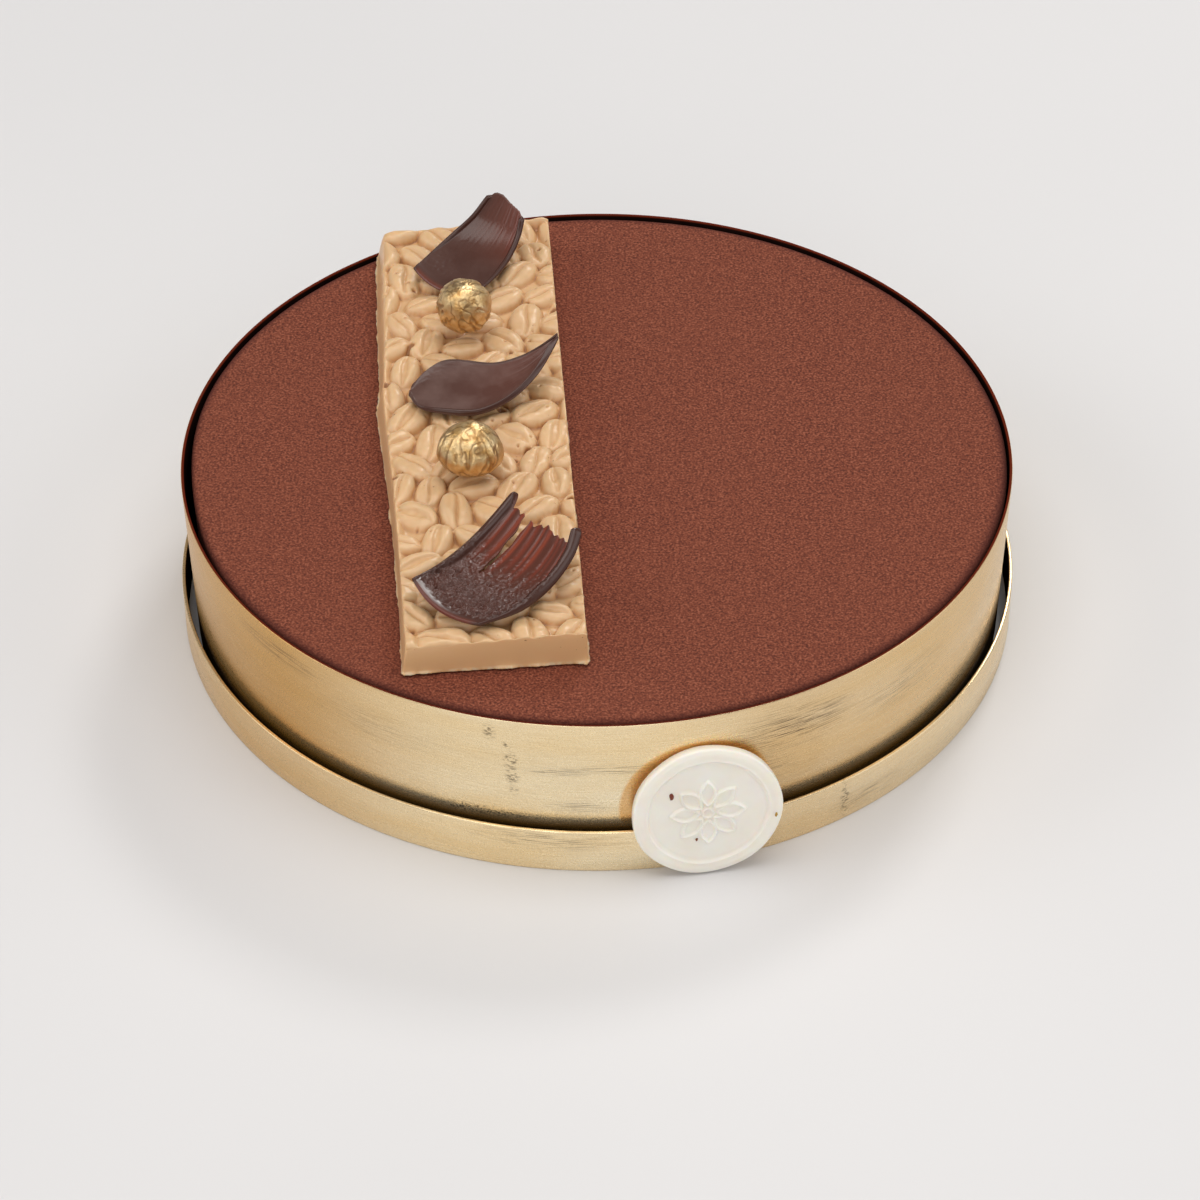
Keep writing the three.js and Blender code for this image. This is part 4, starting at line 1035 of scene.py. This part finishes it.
def make_curl(name, left, right, sag, bulge, ends, slit, seed, tube, comb, crinkle, film, bloom_and_sheen):
    """A brushed sheet between two rails: bristle tracks along the stroke, a smooth lip where the brush
    set down, a thick roll at each side, and a thin torn end where it lifted."""
    columns, rows = 132, 130
    random = np.random.default_rng(seed)
    even = np.linspace(-1, 1, columns + 1)
    across_line = 0.35 * even + 0.65 * np.sin(math.pi / 2 * even)
    across, along = np.meshgrid(across_line, np.linspace(0, 1, rows + 1))
    cut = set()
    if slit:
        slit_at, slit_from, slit_width = slit
        slit_column = int(np.searchsorted(across_line, slit_at)) - 1
        cut = {(slit_column, row) for row in range(rows) if row >= slit_from * rows}
        opened = slit_width * np.clip((along - slit_from) / (1 - slit_from), 0, 1) ** 0.8
        opened = opened * (1 + 0.35 * np.sin(31 * along + seed))
        side = np.where(np.arange(columns + 1) <= slit_column, -1, 1)
        across = across + side * opened * np.exp(-np.abs(across - slit_at) / 0.12)
    groove = bristle_tracks(random, across, along, comb)

    start = -bulge * (1 - across_line ** 2)
    end = torn_end(random, across_line, ends, comb)
    share = start + (end - start) * along
    middle = (0.5 + 0.5 * across)[..., None]
    surface = on_rail(left, share) * (1 - middle) + on_rail(right, share) * middle
    surface[..., 2] -= sag * (1 - across ** 2)
    up = np.cross(np.gradient(surface, axis=1), np.gradient(surface, axis=0))
    up /= np.linalg.norm(up, axis=-1, keepdims=True)

    # Half the sheet's thickness from its distances to the sides and ends, in millimetres.
    half_width = np.linalg.norm(surface[:, -1] - surface[:, 0], axis=-1)[:, None] / 2
    to_side = (1 - np.abs(across)) * half_width
    length = np.linalg.norm(np.diff(surface, axis=0), axis=-1).sum(0)[None, :]
    to_start, to_end = along * length, (1 - along) * length
    tube_here = np.where(across < 0, tube[0], tube[1])
    lifting = np.minimum(np.sqrt(to_end / 1.3 + 0.02), 1)
    roll = tube_here * (0.3 + 0.7 * smooth_step(along, 0.05, 0.45)) * lifting
    roll = np.minimum(roll, 0.45 * half_width)
    round_side = np.sqrt(np.maximum(roll ** 2 - (roll - np.minimum(to_side, 2 * roll)) ** 2, 0))
    lip = CURL_LIP * np.sqrt(np.maximum(1 - (1 - np.minimum(to_start / 1.1, 2)) ** 2, 0))
    body = np.maximum(0.5 * (CURL_THICKNESS * (1 - 0.5 * along) - 0.6 * groove), 0.1)
    to_edge = np.minimum.reduce([to_side, to_start, to_end])
    shut = np.sqrt(1 - np.clip(1 - to_edge / CURL_EDGE, 0, 1) ** 2)
    half = np.maximum((round_side ** 4 + lip ** 4 + (body * shut) ** 4) ** 0.25, 0.05)
    rolled = np.clip(round_side / half, 0, 1) ** 2
    creased = crinkle * np.clip(1.2 - along * 1.6, 0, 1) * smooth_step(to_side, 0.2, 1.5)
    creased = creased * smooth_step(to_start, 1.4, 4.4)
    ripple = np.zeros_like(creased)
    for place in zip(*np.nonzero(creased > 0.02)):
        ripple[place] = 0.25 - abs(noise.fractal(Vector(surface[place]) / 1.5, 0.8, 2.0, 2))
    upper = surface + up * (half * (1 + 0.5 * rolled) + 1.3 * creased * ripple)[..., None]
    lower = surface - up * (half * (1 - 0.5 * rolled))[..., None]
    points = np.concatenate([upper.reshape(-1, 3), lower.reshape(-1, 3)])
    points[:, 2] += BEANS_TOP

    filmy = np.interp(across, (-1, 1), film) * smooth_step(along, 0.25, 0.75) * (0.3 + 0.9 * groove)
    # The lip is thin as well, so the light comes through it.
    filmy += 0.2 * creased + 0.55 * (1 - smooth_step(to_start, 0.3, 1.5))
    filmy *= (1 - rolled) * smooth_step(to_side / tube_here, 0.5, 2.2)
    looks = {"film": np.clip(filmy, 0, 1), "crinkle": creased, "bloom_and_sheen": bloom_and_sheen * (1 - rolled)}
    mesh = mesh_from(name, points, sheet_faces(columns, rows, cut),
                     **{label: np.tile(values.ravel(), 2) for label, values in looks.items()})
    mesh.materials.append(CURL_CHOCOLATE)
    mesh.shade_smooth()
    return placed(name, mesh)


# The hazelnuts

def nut_tree():
    """Ridges a ball from base to tip, creases it along its length and notes how deep each place lies."""
    tree, given = new_tree("wrinkled_nut", Width="Float", Length="Float", Flat="Float", Ridges="Float",
                           Wrinkles="Float", Ridge_Depth="Float", Crease_Depth="Float", Phase="Float",
                           Finish="Material")
    ball = node(tree, "GeometryNodeMeshUVSphere", {"Segments": 176, "Rings": 110, "Radius": 1.0})
    place = node(tree, "GeometryNodeInputPosition")
    axes = node(tree, "ShaderNodeSeparateXYZ", {0: place}).outputs
    angle = node(tree, MATH, {0: axes["Y"], 1: axes["X"]}, operation="ARCTAN2")
    flat = node(tree, VECTOR, {0: place, 1: (1, 1, 0)}, operation="MULTIPLY")
    girth = node(tree, VECTOR, {0: flat}, operation="LENGTH").outputs["Value"]
    other_phase = node(tree, MATH, {0: given["Phase"], 1: -2.0}, operation="MULTIPLY")
    waves = [node(tree, MATH, {0: node(tree, MATH, {0: angle, 1: given[count], 2: phase},
                                       operation="MULTIPLY_ADD")}, operation="COSINE")
             for count, phase in (("Ridges", given["Phase"]), ("Wrinkles", other_phase))]
    ridge = node(tree, MATH, {0: waves[1], 1: 0.6, 2: waves[0]}, operation="MULTIPLY_ADD")
    # Creases: the lines where a noise, stretched from base to tip, passes through its middle value.
    stretched = node(tree, VECTOR, {0: place, 1: (1, 1, 0.2), 2: given["Phase"]}, operation="MULTIPLY_ADD")
    folds = node(tree, "ShaderNodeTexNoise", {"Vector": stretched, "Scale": 2.3, "Detail": 2.0,
                                              "Roughness": 0.5, "Distortion": 0.3})
    centred = node(tree, MATH, {0: folds, 1: 0.5}, operation="SUBTRACT")
    off_middle = node(tree, MATH, {0: centred}, operation="ABSOLUTE")
    crease = node(tree, "ShaderNodeMapRange", {"Value": off_middle, "From Min": 0.08, "From Max": 0.0},
                  interpolation_type="SMOOTHSTEP")
    ridged = node(tree, MATH, {0: ridge, 1: given["Ridge_Depth"]}, operation="MULTIPLY")
    cut = node(tree, MATH, {0: crease, 1: given["Crease_Depth"]}, operation="MULTIPLY")
    rough = node(tree, MATH, {0: ridged, 1: cut}, operation="SUBTRACT")
    taper = node(tree, MATH, {0: axes["Z"], 1: -NUT_TAPER, 2: 0.5}, operation="MULTIPLY_ADD")
    wide = node(tree, MATH, {0: given["Width"], 1: taper}, operation="MULTIPLY")
    radius = node(tree, MATH, {0: rough, 1: girth, 2: wide}, operation="MULTIPLY_ADD")
    upper = node(tree, MATH, {0: axes["Z"], 1: 0.0}, operation="MAXIMUM")
    point_out = node(tree, MATH, {0: upper, 1: 8.0}, operation="POWER")
    tip = node(tree, MATH, {0: point_out, 1: NUT_TIP_RISE}, operation="MULTIPLY")
    height = node(tree, MATH, {0: axes["Z"], 1: 0.5, 2: tip}, operation="MULTIPLY_ADD")
    girth_y = node(tree, MATH, {0: radius, 1: given["Flat"]}, operation="MULTIPLY")
    long = node(tree, MATH, {0: height, 1: given["Length"]}, operation="MULTIPLY")
    shaped = node(tree, "ShaderNodeCombineXYZ", {
        "X": node(tree, MATH, {0: axes["X"], 1: radius}, operation="MULTIPLY"),
        "Y": node(tree, MATH, {0: axes["Y"], 1: girth_y}, operation="MULTIPLY"), "Z": long})
    noted = node(tree, "GeometryNodeStoreNamedAttribute", {
        "Geometry": ball.outputs["Mesh"], "Name": "groove", "Value": crease},
        data_type="FLOAT", domain="POINT")
    formed = node(tree, "GeometryNodeSetPosition", {"Geometry": noted, "Position": shaped})
    return end_tree(tree, formed, given["Finish"])


def make_nut(name, tree, width, length, flat, tip, seed):
    """A nut that lies over its solid's middle, on its lowest point."""
    nut = grown(name + "_gilded", tree, Width=width * MM, Length=length * MM, Flat=flat,
                Ridges=float(NUT_RIDGES), Wrinkles=float(NUT_WRINKLES), Ridge_Depth=NUT_RIDGE_DEPTH * MM,
                Crease_Depth=NUT_CREASE_DEPTH * MM, Phase=float(seed), Finish=GILDED_NUT)
    turn = Vector((0, 0, 1)).rotation_difference(Vector(tip).normalized()).to_matrix().to_4x4()
    nut.data.transform(turn)
    low, high = (Vector(corner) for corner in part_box(name))
    points = np.array([v.co for v in nut.data.vertices])
    middle = (points.min(0) + points.max(0)) / 2
    nut.data.transform(Matrix.Translation((
        (low.x + high.x) / 2 - middle[0], (low.y + high.y) / 2 - middle[1],
        low.z - points[:, 2].min())))
    return nut


# The seal

def seal_tree():
    """Raises a rosette of fine lines on the seal's face: an eye, and petals that each curve out from
    their start to their end along a left and a right edge."""
    tree, given = new_tree("rosette_relief", Petals="Int", Reach="Float", Line="Float", Rise="Float",
                           Face="Float", Finish="Material")
    points = {}
    for label, out, side in (
            ("Start", 0.24, 0), ("End", 1.0, 0), ("Left", 0.62, -0.42), ("Right", 0.62, 0.42)):
        points[label] = node(tree, VECTOR, {"Vector": (out, side, 0), "Scale": given["Reach"]},
                             operation="SCALE")
    petal = node(tree, "GeometryNodeJoinGeometry")
    for bend in ("Left", "Right"):
        edge = node(tree, "GeometryNodeCurveQuadraticBezier", {
            "Resolution": 20, "Start": points["Start"], "Middle": points[bend], "End": points["End"]})
        tree.links.new(edge.outputs[0], petal.inputs[0])
    hub = node(tree, "GeometryNodeMeshLine", {"Count": given["Petals"], "Offset": (0, 0, 0)})
    step = node(tree, MATH, {0: 2 * math.pi, 1: given["Petals"]}, operation="DIVIDE")
    turn = node(tree, MATH, {0: node(tree, "GeometryNodeInputIndex"), 1: step}, operation="MULTIPLY")
    around = node(tree, "GeometryNodeInstanceOnPoints", {
        "Points": hub, "Instance": petal, "Rotation": node(tree, "ShaderNodeCombineXYZ", {"Z": turn})})
    eye = node(tree, "GeometryNodeCurvePrimitiveCircle", {
        "Resolution": 48, "Radius": node(tree, MATH, {0: given["Reach"], 1: 0.15}, operation="MULTIPLY")})
    lines = node(tree, "GeometryNodeJoinGeometry", {"Geometry": eye})
    petals = node(tree, "GeometryNodeRealizeInstances", {"Geometry": around})
    tree.links.new(petals.outputs[0], lines.inputs[0])
    drawn = node(tree, "GeometryNodeCurveToMesh", {"Curve": lines})
    place = node(tree, "GeometryNodeInputPosition")
    flat = node(tree, VECTOR, {0: place, 1: (1, 1, 0)}, operation="MULTIPLY")
    near = node(tree, "GeometryNodeProximity", {"Geometry": drawn, "Sample Position": flat},
                target_element="EDGES")
    ridge = node(tree, "ShaderNodeMapRange", {
        "Value": near.outputs["Distance"], "From Min": given["Line"], "From Max": 0.0,
        "To Max": given["Rise"]}, interpolation_type="SMOOTHSTEP")
    height = node(tree, "ShaderNodeSeparateXYZ", {0: place}).outputs["Z"]
    on_face = node(tree, MATH, {0: height, 1: given["Face"]}, operation="GREATER_THAN")
    stamped = node(tree, "GeometryNodeSetPosition", {
        "Geometry": given["Geometry"], "Selection": on_face,
        "Offset": node(tree, "ShaderNodeCombineXYZ", {"Z": ridge})})
    return end_tree(tree, stamped, given["Finish"])


def seal_face(radius):
    """Height of the seal's face over its back: a ground sunk inside a border with a raised inner line."""
    step = smooth_step(radius, SEAL_GROUND_RADIUS, SEAL_GROUND_RADIUS + 0.5)
    face = SEAL_THICKNESS - SEAL_GROUND_DEPTH * (1 - step)
    face += 0.2 * np.exp(-((radius - SEAL_GROUND_RADIUS - 0.3) / 0.32) ** 2)
    face -= 0.08 * np.exp(-((radius - SEAL_GROUND_RADIUS + 0.45) / 0.4) ** 2)
    return face - 0.3 * smooth_step(radius, SEAL_SHOULDER, SEAL_RADIUS) ** 2


def seal_start():
    """The seal's disc, not quite round: a fine grid over its face and a rolled edge."""
    sides = 190
    x, y = disc_points(sides)
    radius = np.hypot(x, y) * (SEAL_RADIUS - SEAL_EDGE)
    angle = np.arctan2(y, x)
    rim = rim_of_grid(sides, sides)
    rows = [(radius, angle, seal_face(radius))]
    for turn in np.linspace(0, math.pi / 2, 7)[1:]:
        rows.append((np.full(len(rim), SEAL_RADIUS - SEAL_EDGE * (1 - math.sin(turn))), angle[rim],
                     rows[0][2][rim] - SEAL_EDGE * (1 - math.cos(turn))))
    for inset, height in ((0, 0.5), (0.4, 0.08), (0.9, 0.0)):
        rows.append((np.full(len(rim), SEAL_RADIUS - inset), angle[rim], np.full(len(rim), height)))
    reach, angles, heights = (np.concatenate(parts) for parts in zip(*rows))
    reach = reach * (1 + 0.006 * np.cos(3 * angles + 1) + 0.004 * np.cos(7 * angles))
    points = np.stack([reach * np.cos(angles), reach * np.sin(angles), heights], -1)
    return mesh_from("seal_start", points, grid_faces(sides, sides) + skirt_faces(rim, len(x), len(rows) - 1))


def seal_matrix():
    """From the seal's own frame, face up, to where it leans."""
    facing, lean = math.radians(SEAL_FACING), math.radians(SEAL_LEAN)
    right = Vector((math.cos(facing), math.sin(facing), 0))
    outward = Vector((math.sin(facing) * math.cos(lean), -math.cos(facing) * math.cos(lean), math.sin(lean)))
    upward = outward.cross(right)
    centre_z = 1.01 * SEAL_RADIUS * math.cos(lean)
    back = LOWER_BAND["top"] + TOUCH_GAP - (centre_z - LOWER_BAND["height"]) * math.tan(lean)
    sideways = back * math.tan(math.radians(SEAL_DIRECTION) - facing)
    centre = Vector((math.sin(facing) * back, -math.cos(facing) * back, centre_z)) + right * sideways
    return Matrix.Translation(centre * MM) @ Matrix((right, upward, outward)).transposed().to_4x4()


def make_fleck(name, material, x, y, size, seed):
    """A flat crumb pressed into the seal's face."""
    random = np.random.default_rng(seed)
    sides, rings = 12, 4
    rise, depth = 0.12, 0.3
    face = float(seal_face(math.hypot(x, y)))
    points = []
    for ring in range(1, rings + 1):
        tilt = ring / rings * math.pi / 2
        for side in range(sides):
            turn = 2 * math.pi * side / sides
            reach = size * math.sin(tilt) * (1 + 0.25 * random.uniform(-1, 1))
            points.append((x + reach * math.cos(turn) * 0.6, y + reach * math.sin(turn),
                           face + rise * math.cos(tilt)))
    points += [(x, y, face + rise), (x, y, face - depth)]
    top, bottom, last = len(points) - 2, len(points) - 1, (rings - 1) * sides
    faces = []
    for side in range(sides):
        following = (side + 1) % sides
        faces += [(top, side, following), (bottom, last + following, last + side)]
        for first in range(0, last, sides):
            second = first + sides
            faces.append((first + side, second + side, second + following, first + following))
    mesh = mesh_from(name, points, faces)
    mesh.transform(seal_matrix())
    mesh.materials.append(material)
    mesh.shade_smooth()
    return placed(name, mesh)


# Everything in its place

def settle(piece, slot, *nodes):
    """Puts a piece on the part's body, in place of the solids that it stands for. The slot is not used."""
    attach(piece, "root")
    if nodes:
        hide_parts(*nodes)


settle(grown("cake_velvet", velvet_tree(), cake_start(), Grain=1.5 * MM, Rise=0.12 * MM,
             Droplet=0.16 * MM, Density=5.0e4, Seed=3, Finish=VELVET), "cocoa_velvet", "cake")

wrap = band_tree()
for name, (band, gilt_from, phase) in BANDS.items():
    sizes = {label.capitalize(): value * MM for label, value in band.items()}
    settle(grown(name + "_gilded", wrap, Sides=720, Phase=phase, Gilt_From=gilt_from, Gold=GOLD_DUST,
                 Chocolate=BAND_CHOCOLATE, **sizes), "gold_dusted_chocolate", name)

settle(make_bar(), "praline", "praline_bar")

for name, curl in CURLS.items():
    settle(make_curl(name + "_brushed", **curl), "dark_chocolate", name)

ridged = nut_tree()
for name, shape in NUTS.items():
    settle(make_nut(name, ridged, **shape), "gilded_hazelnut", name)

seal = grown("seal_stamped", seal_tree(), seal_start(), Petals=SEAL_PETALS,
             Reach=SEAL_PETAL_REACH * MM, Line=SEAL_PETAL_LINE * MM, Rise=SEAL_PETAL_RISE * MM,
             Face=SEAL_FACE_FROM * MM, Finish=WHITE_CHOCOLATE)
seal.data.transform(seal_matrix())
settle(seal, "white_chocolate", "seal")

BERRY = fleck_material("dried_berry_crumb", "#7c1f16")
PEEL = fleck_material("candied_peel_crumb", "#d9b33c")
# Each crumb's material, place on the seal's face, size and seed.
FLECKS = {"fleck_left": (BERRY, -8.4, 5.6, 0.95, 10), "fleck_low": (BERRY, -2.7, -7.5, 0.45, 9),
          "fleck_right": (PEEL, 15.9, -2.9, 0.6, 11)}
for name, fleck in FLECKS.items():
    settle(make_fleck(name, *fleck), "white_chocolate")


# The stage, the light and the camera

def add_stage():
    """A plain floor under the cake."""
    half = 3.0
    mesh = bpy.data.meshes.new("studio_floor")
    mesh.from_pydata([(-half, -half, 0), (half, -half, 0), (half, half, 0), (-half, half, 0)], [],
                     [(0, 1, 2, 3)])
    mesh.materials.append(floor_material())
    placed("studio_floor", mesh)


def add_softbox(name, place, size, power, colour):
    """A lit rectangle that faces the cake: its place and size in metres and its power in watts."""
    light = bpy.data.lights.new(name, "AREA")
    light.shape = "RECTANGLE"
    light.size, light.size_y = size
    light.energy = power
    light.color = linear(colour)[:3]
    lamp = placed(name, light)
    lamp.location = place
    lamp.rotation_euler = (-Vector(place)).to_track_quat("-Z", "Y").to_euler()


def add_light():
    """A pale studio with a large softbox overhead, one behind, a window each side and a front fill."""
    world = bpy.data.worlds.new("studio")
    bpy.context.scene.world = world
    world.use_nodes = True
    backdrop = world.node_tree.nodes["Background"]
    backdrop.inputs["Color"].default_value = linear("#f2f1ef")
    backdrop.inputs["Strength"].default_value = 0.22
    add_softbox("overhead", (0, -0.1, 1.5), (1.4, 1.1), 13.5, "#fffdfa")
    add_softbox("key_behind", (0.5, 1.2, 1.15), (0.4, 0.35), 8, "#fffdfa")
    add_softbox("window_right", (1.5, -0.2, 0.8), (1.2, 1.2), 7, "#ffffff")
    add_softbox("window_left", (-1.4, 0.0, 0.9), (1.0, 1.0), 7.5, "#ffffff")
    add_softbox("front_fill", (-0.2, -1.4, 0.7), (1.6, 0.8), 7.6, "#fffaf4")


def add_camera():
    """The photograph's place and angle, solved from the rims of the bands."""
    distance, height = 0.99628, 0.82183
    yaw, pitch, roll = 0.0006, 0.6911, -0.0064
    focal_pixels, image_pixels, sensor = 5250, 1200, 36
    forward = Vector((math.sin(yaw) * math.cos(pitch), math.cos(yaw) * math.cos(pitch), -math.sin(pitch)))
    level = forward.cross(Vector((0, 0, 1))).normalized()
    upright = level.cross(forward)
    right = level * math.cos(roll) + upright * math.sin(roll)
    up = upright * math.cos(roll) - level * math.sin(roll)
    camera = bpy.data.cameras.new("camera")
    camera.sensor_width = sensor
    camera.lens = sensor * focal_pixels / image_pixels
    camera.clip_start, camera.clip_end = 0.01, 20
    holder = placed("camera", camera)
    holder.matrix_world = (Matrix.Translation((0, -distance, height))
                           @ Matrix((right, up, -forward)).transposed().to_4x4())
    bpy.context.scene.camera = holder


add_stage()
add_light()
add_camera()
bpy.context.scene.view_settings.view_transform = "Standard"
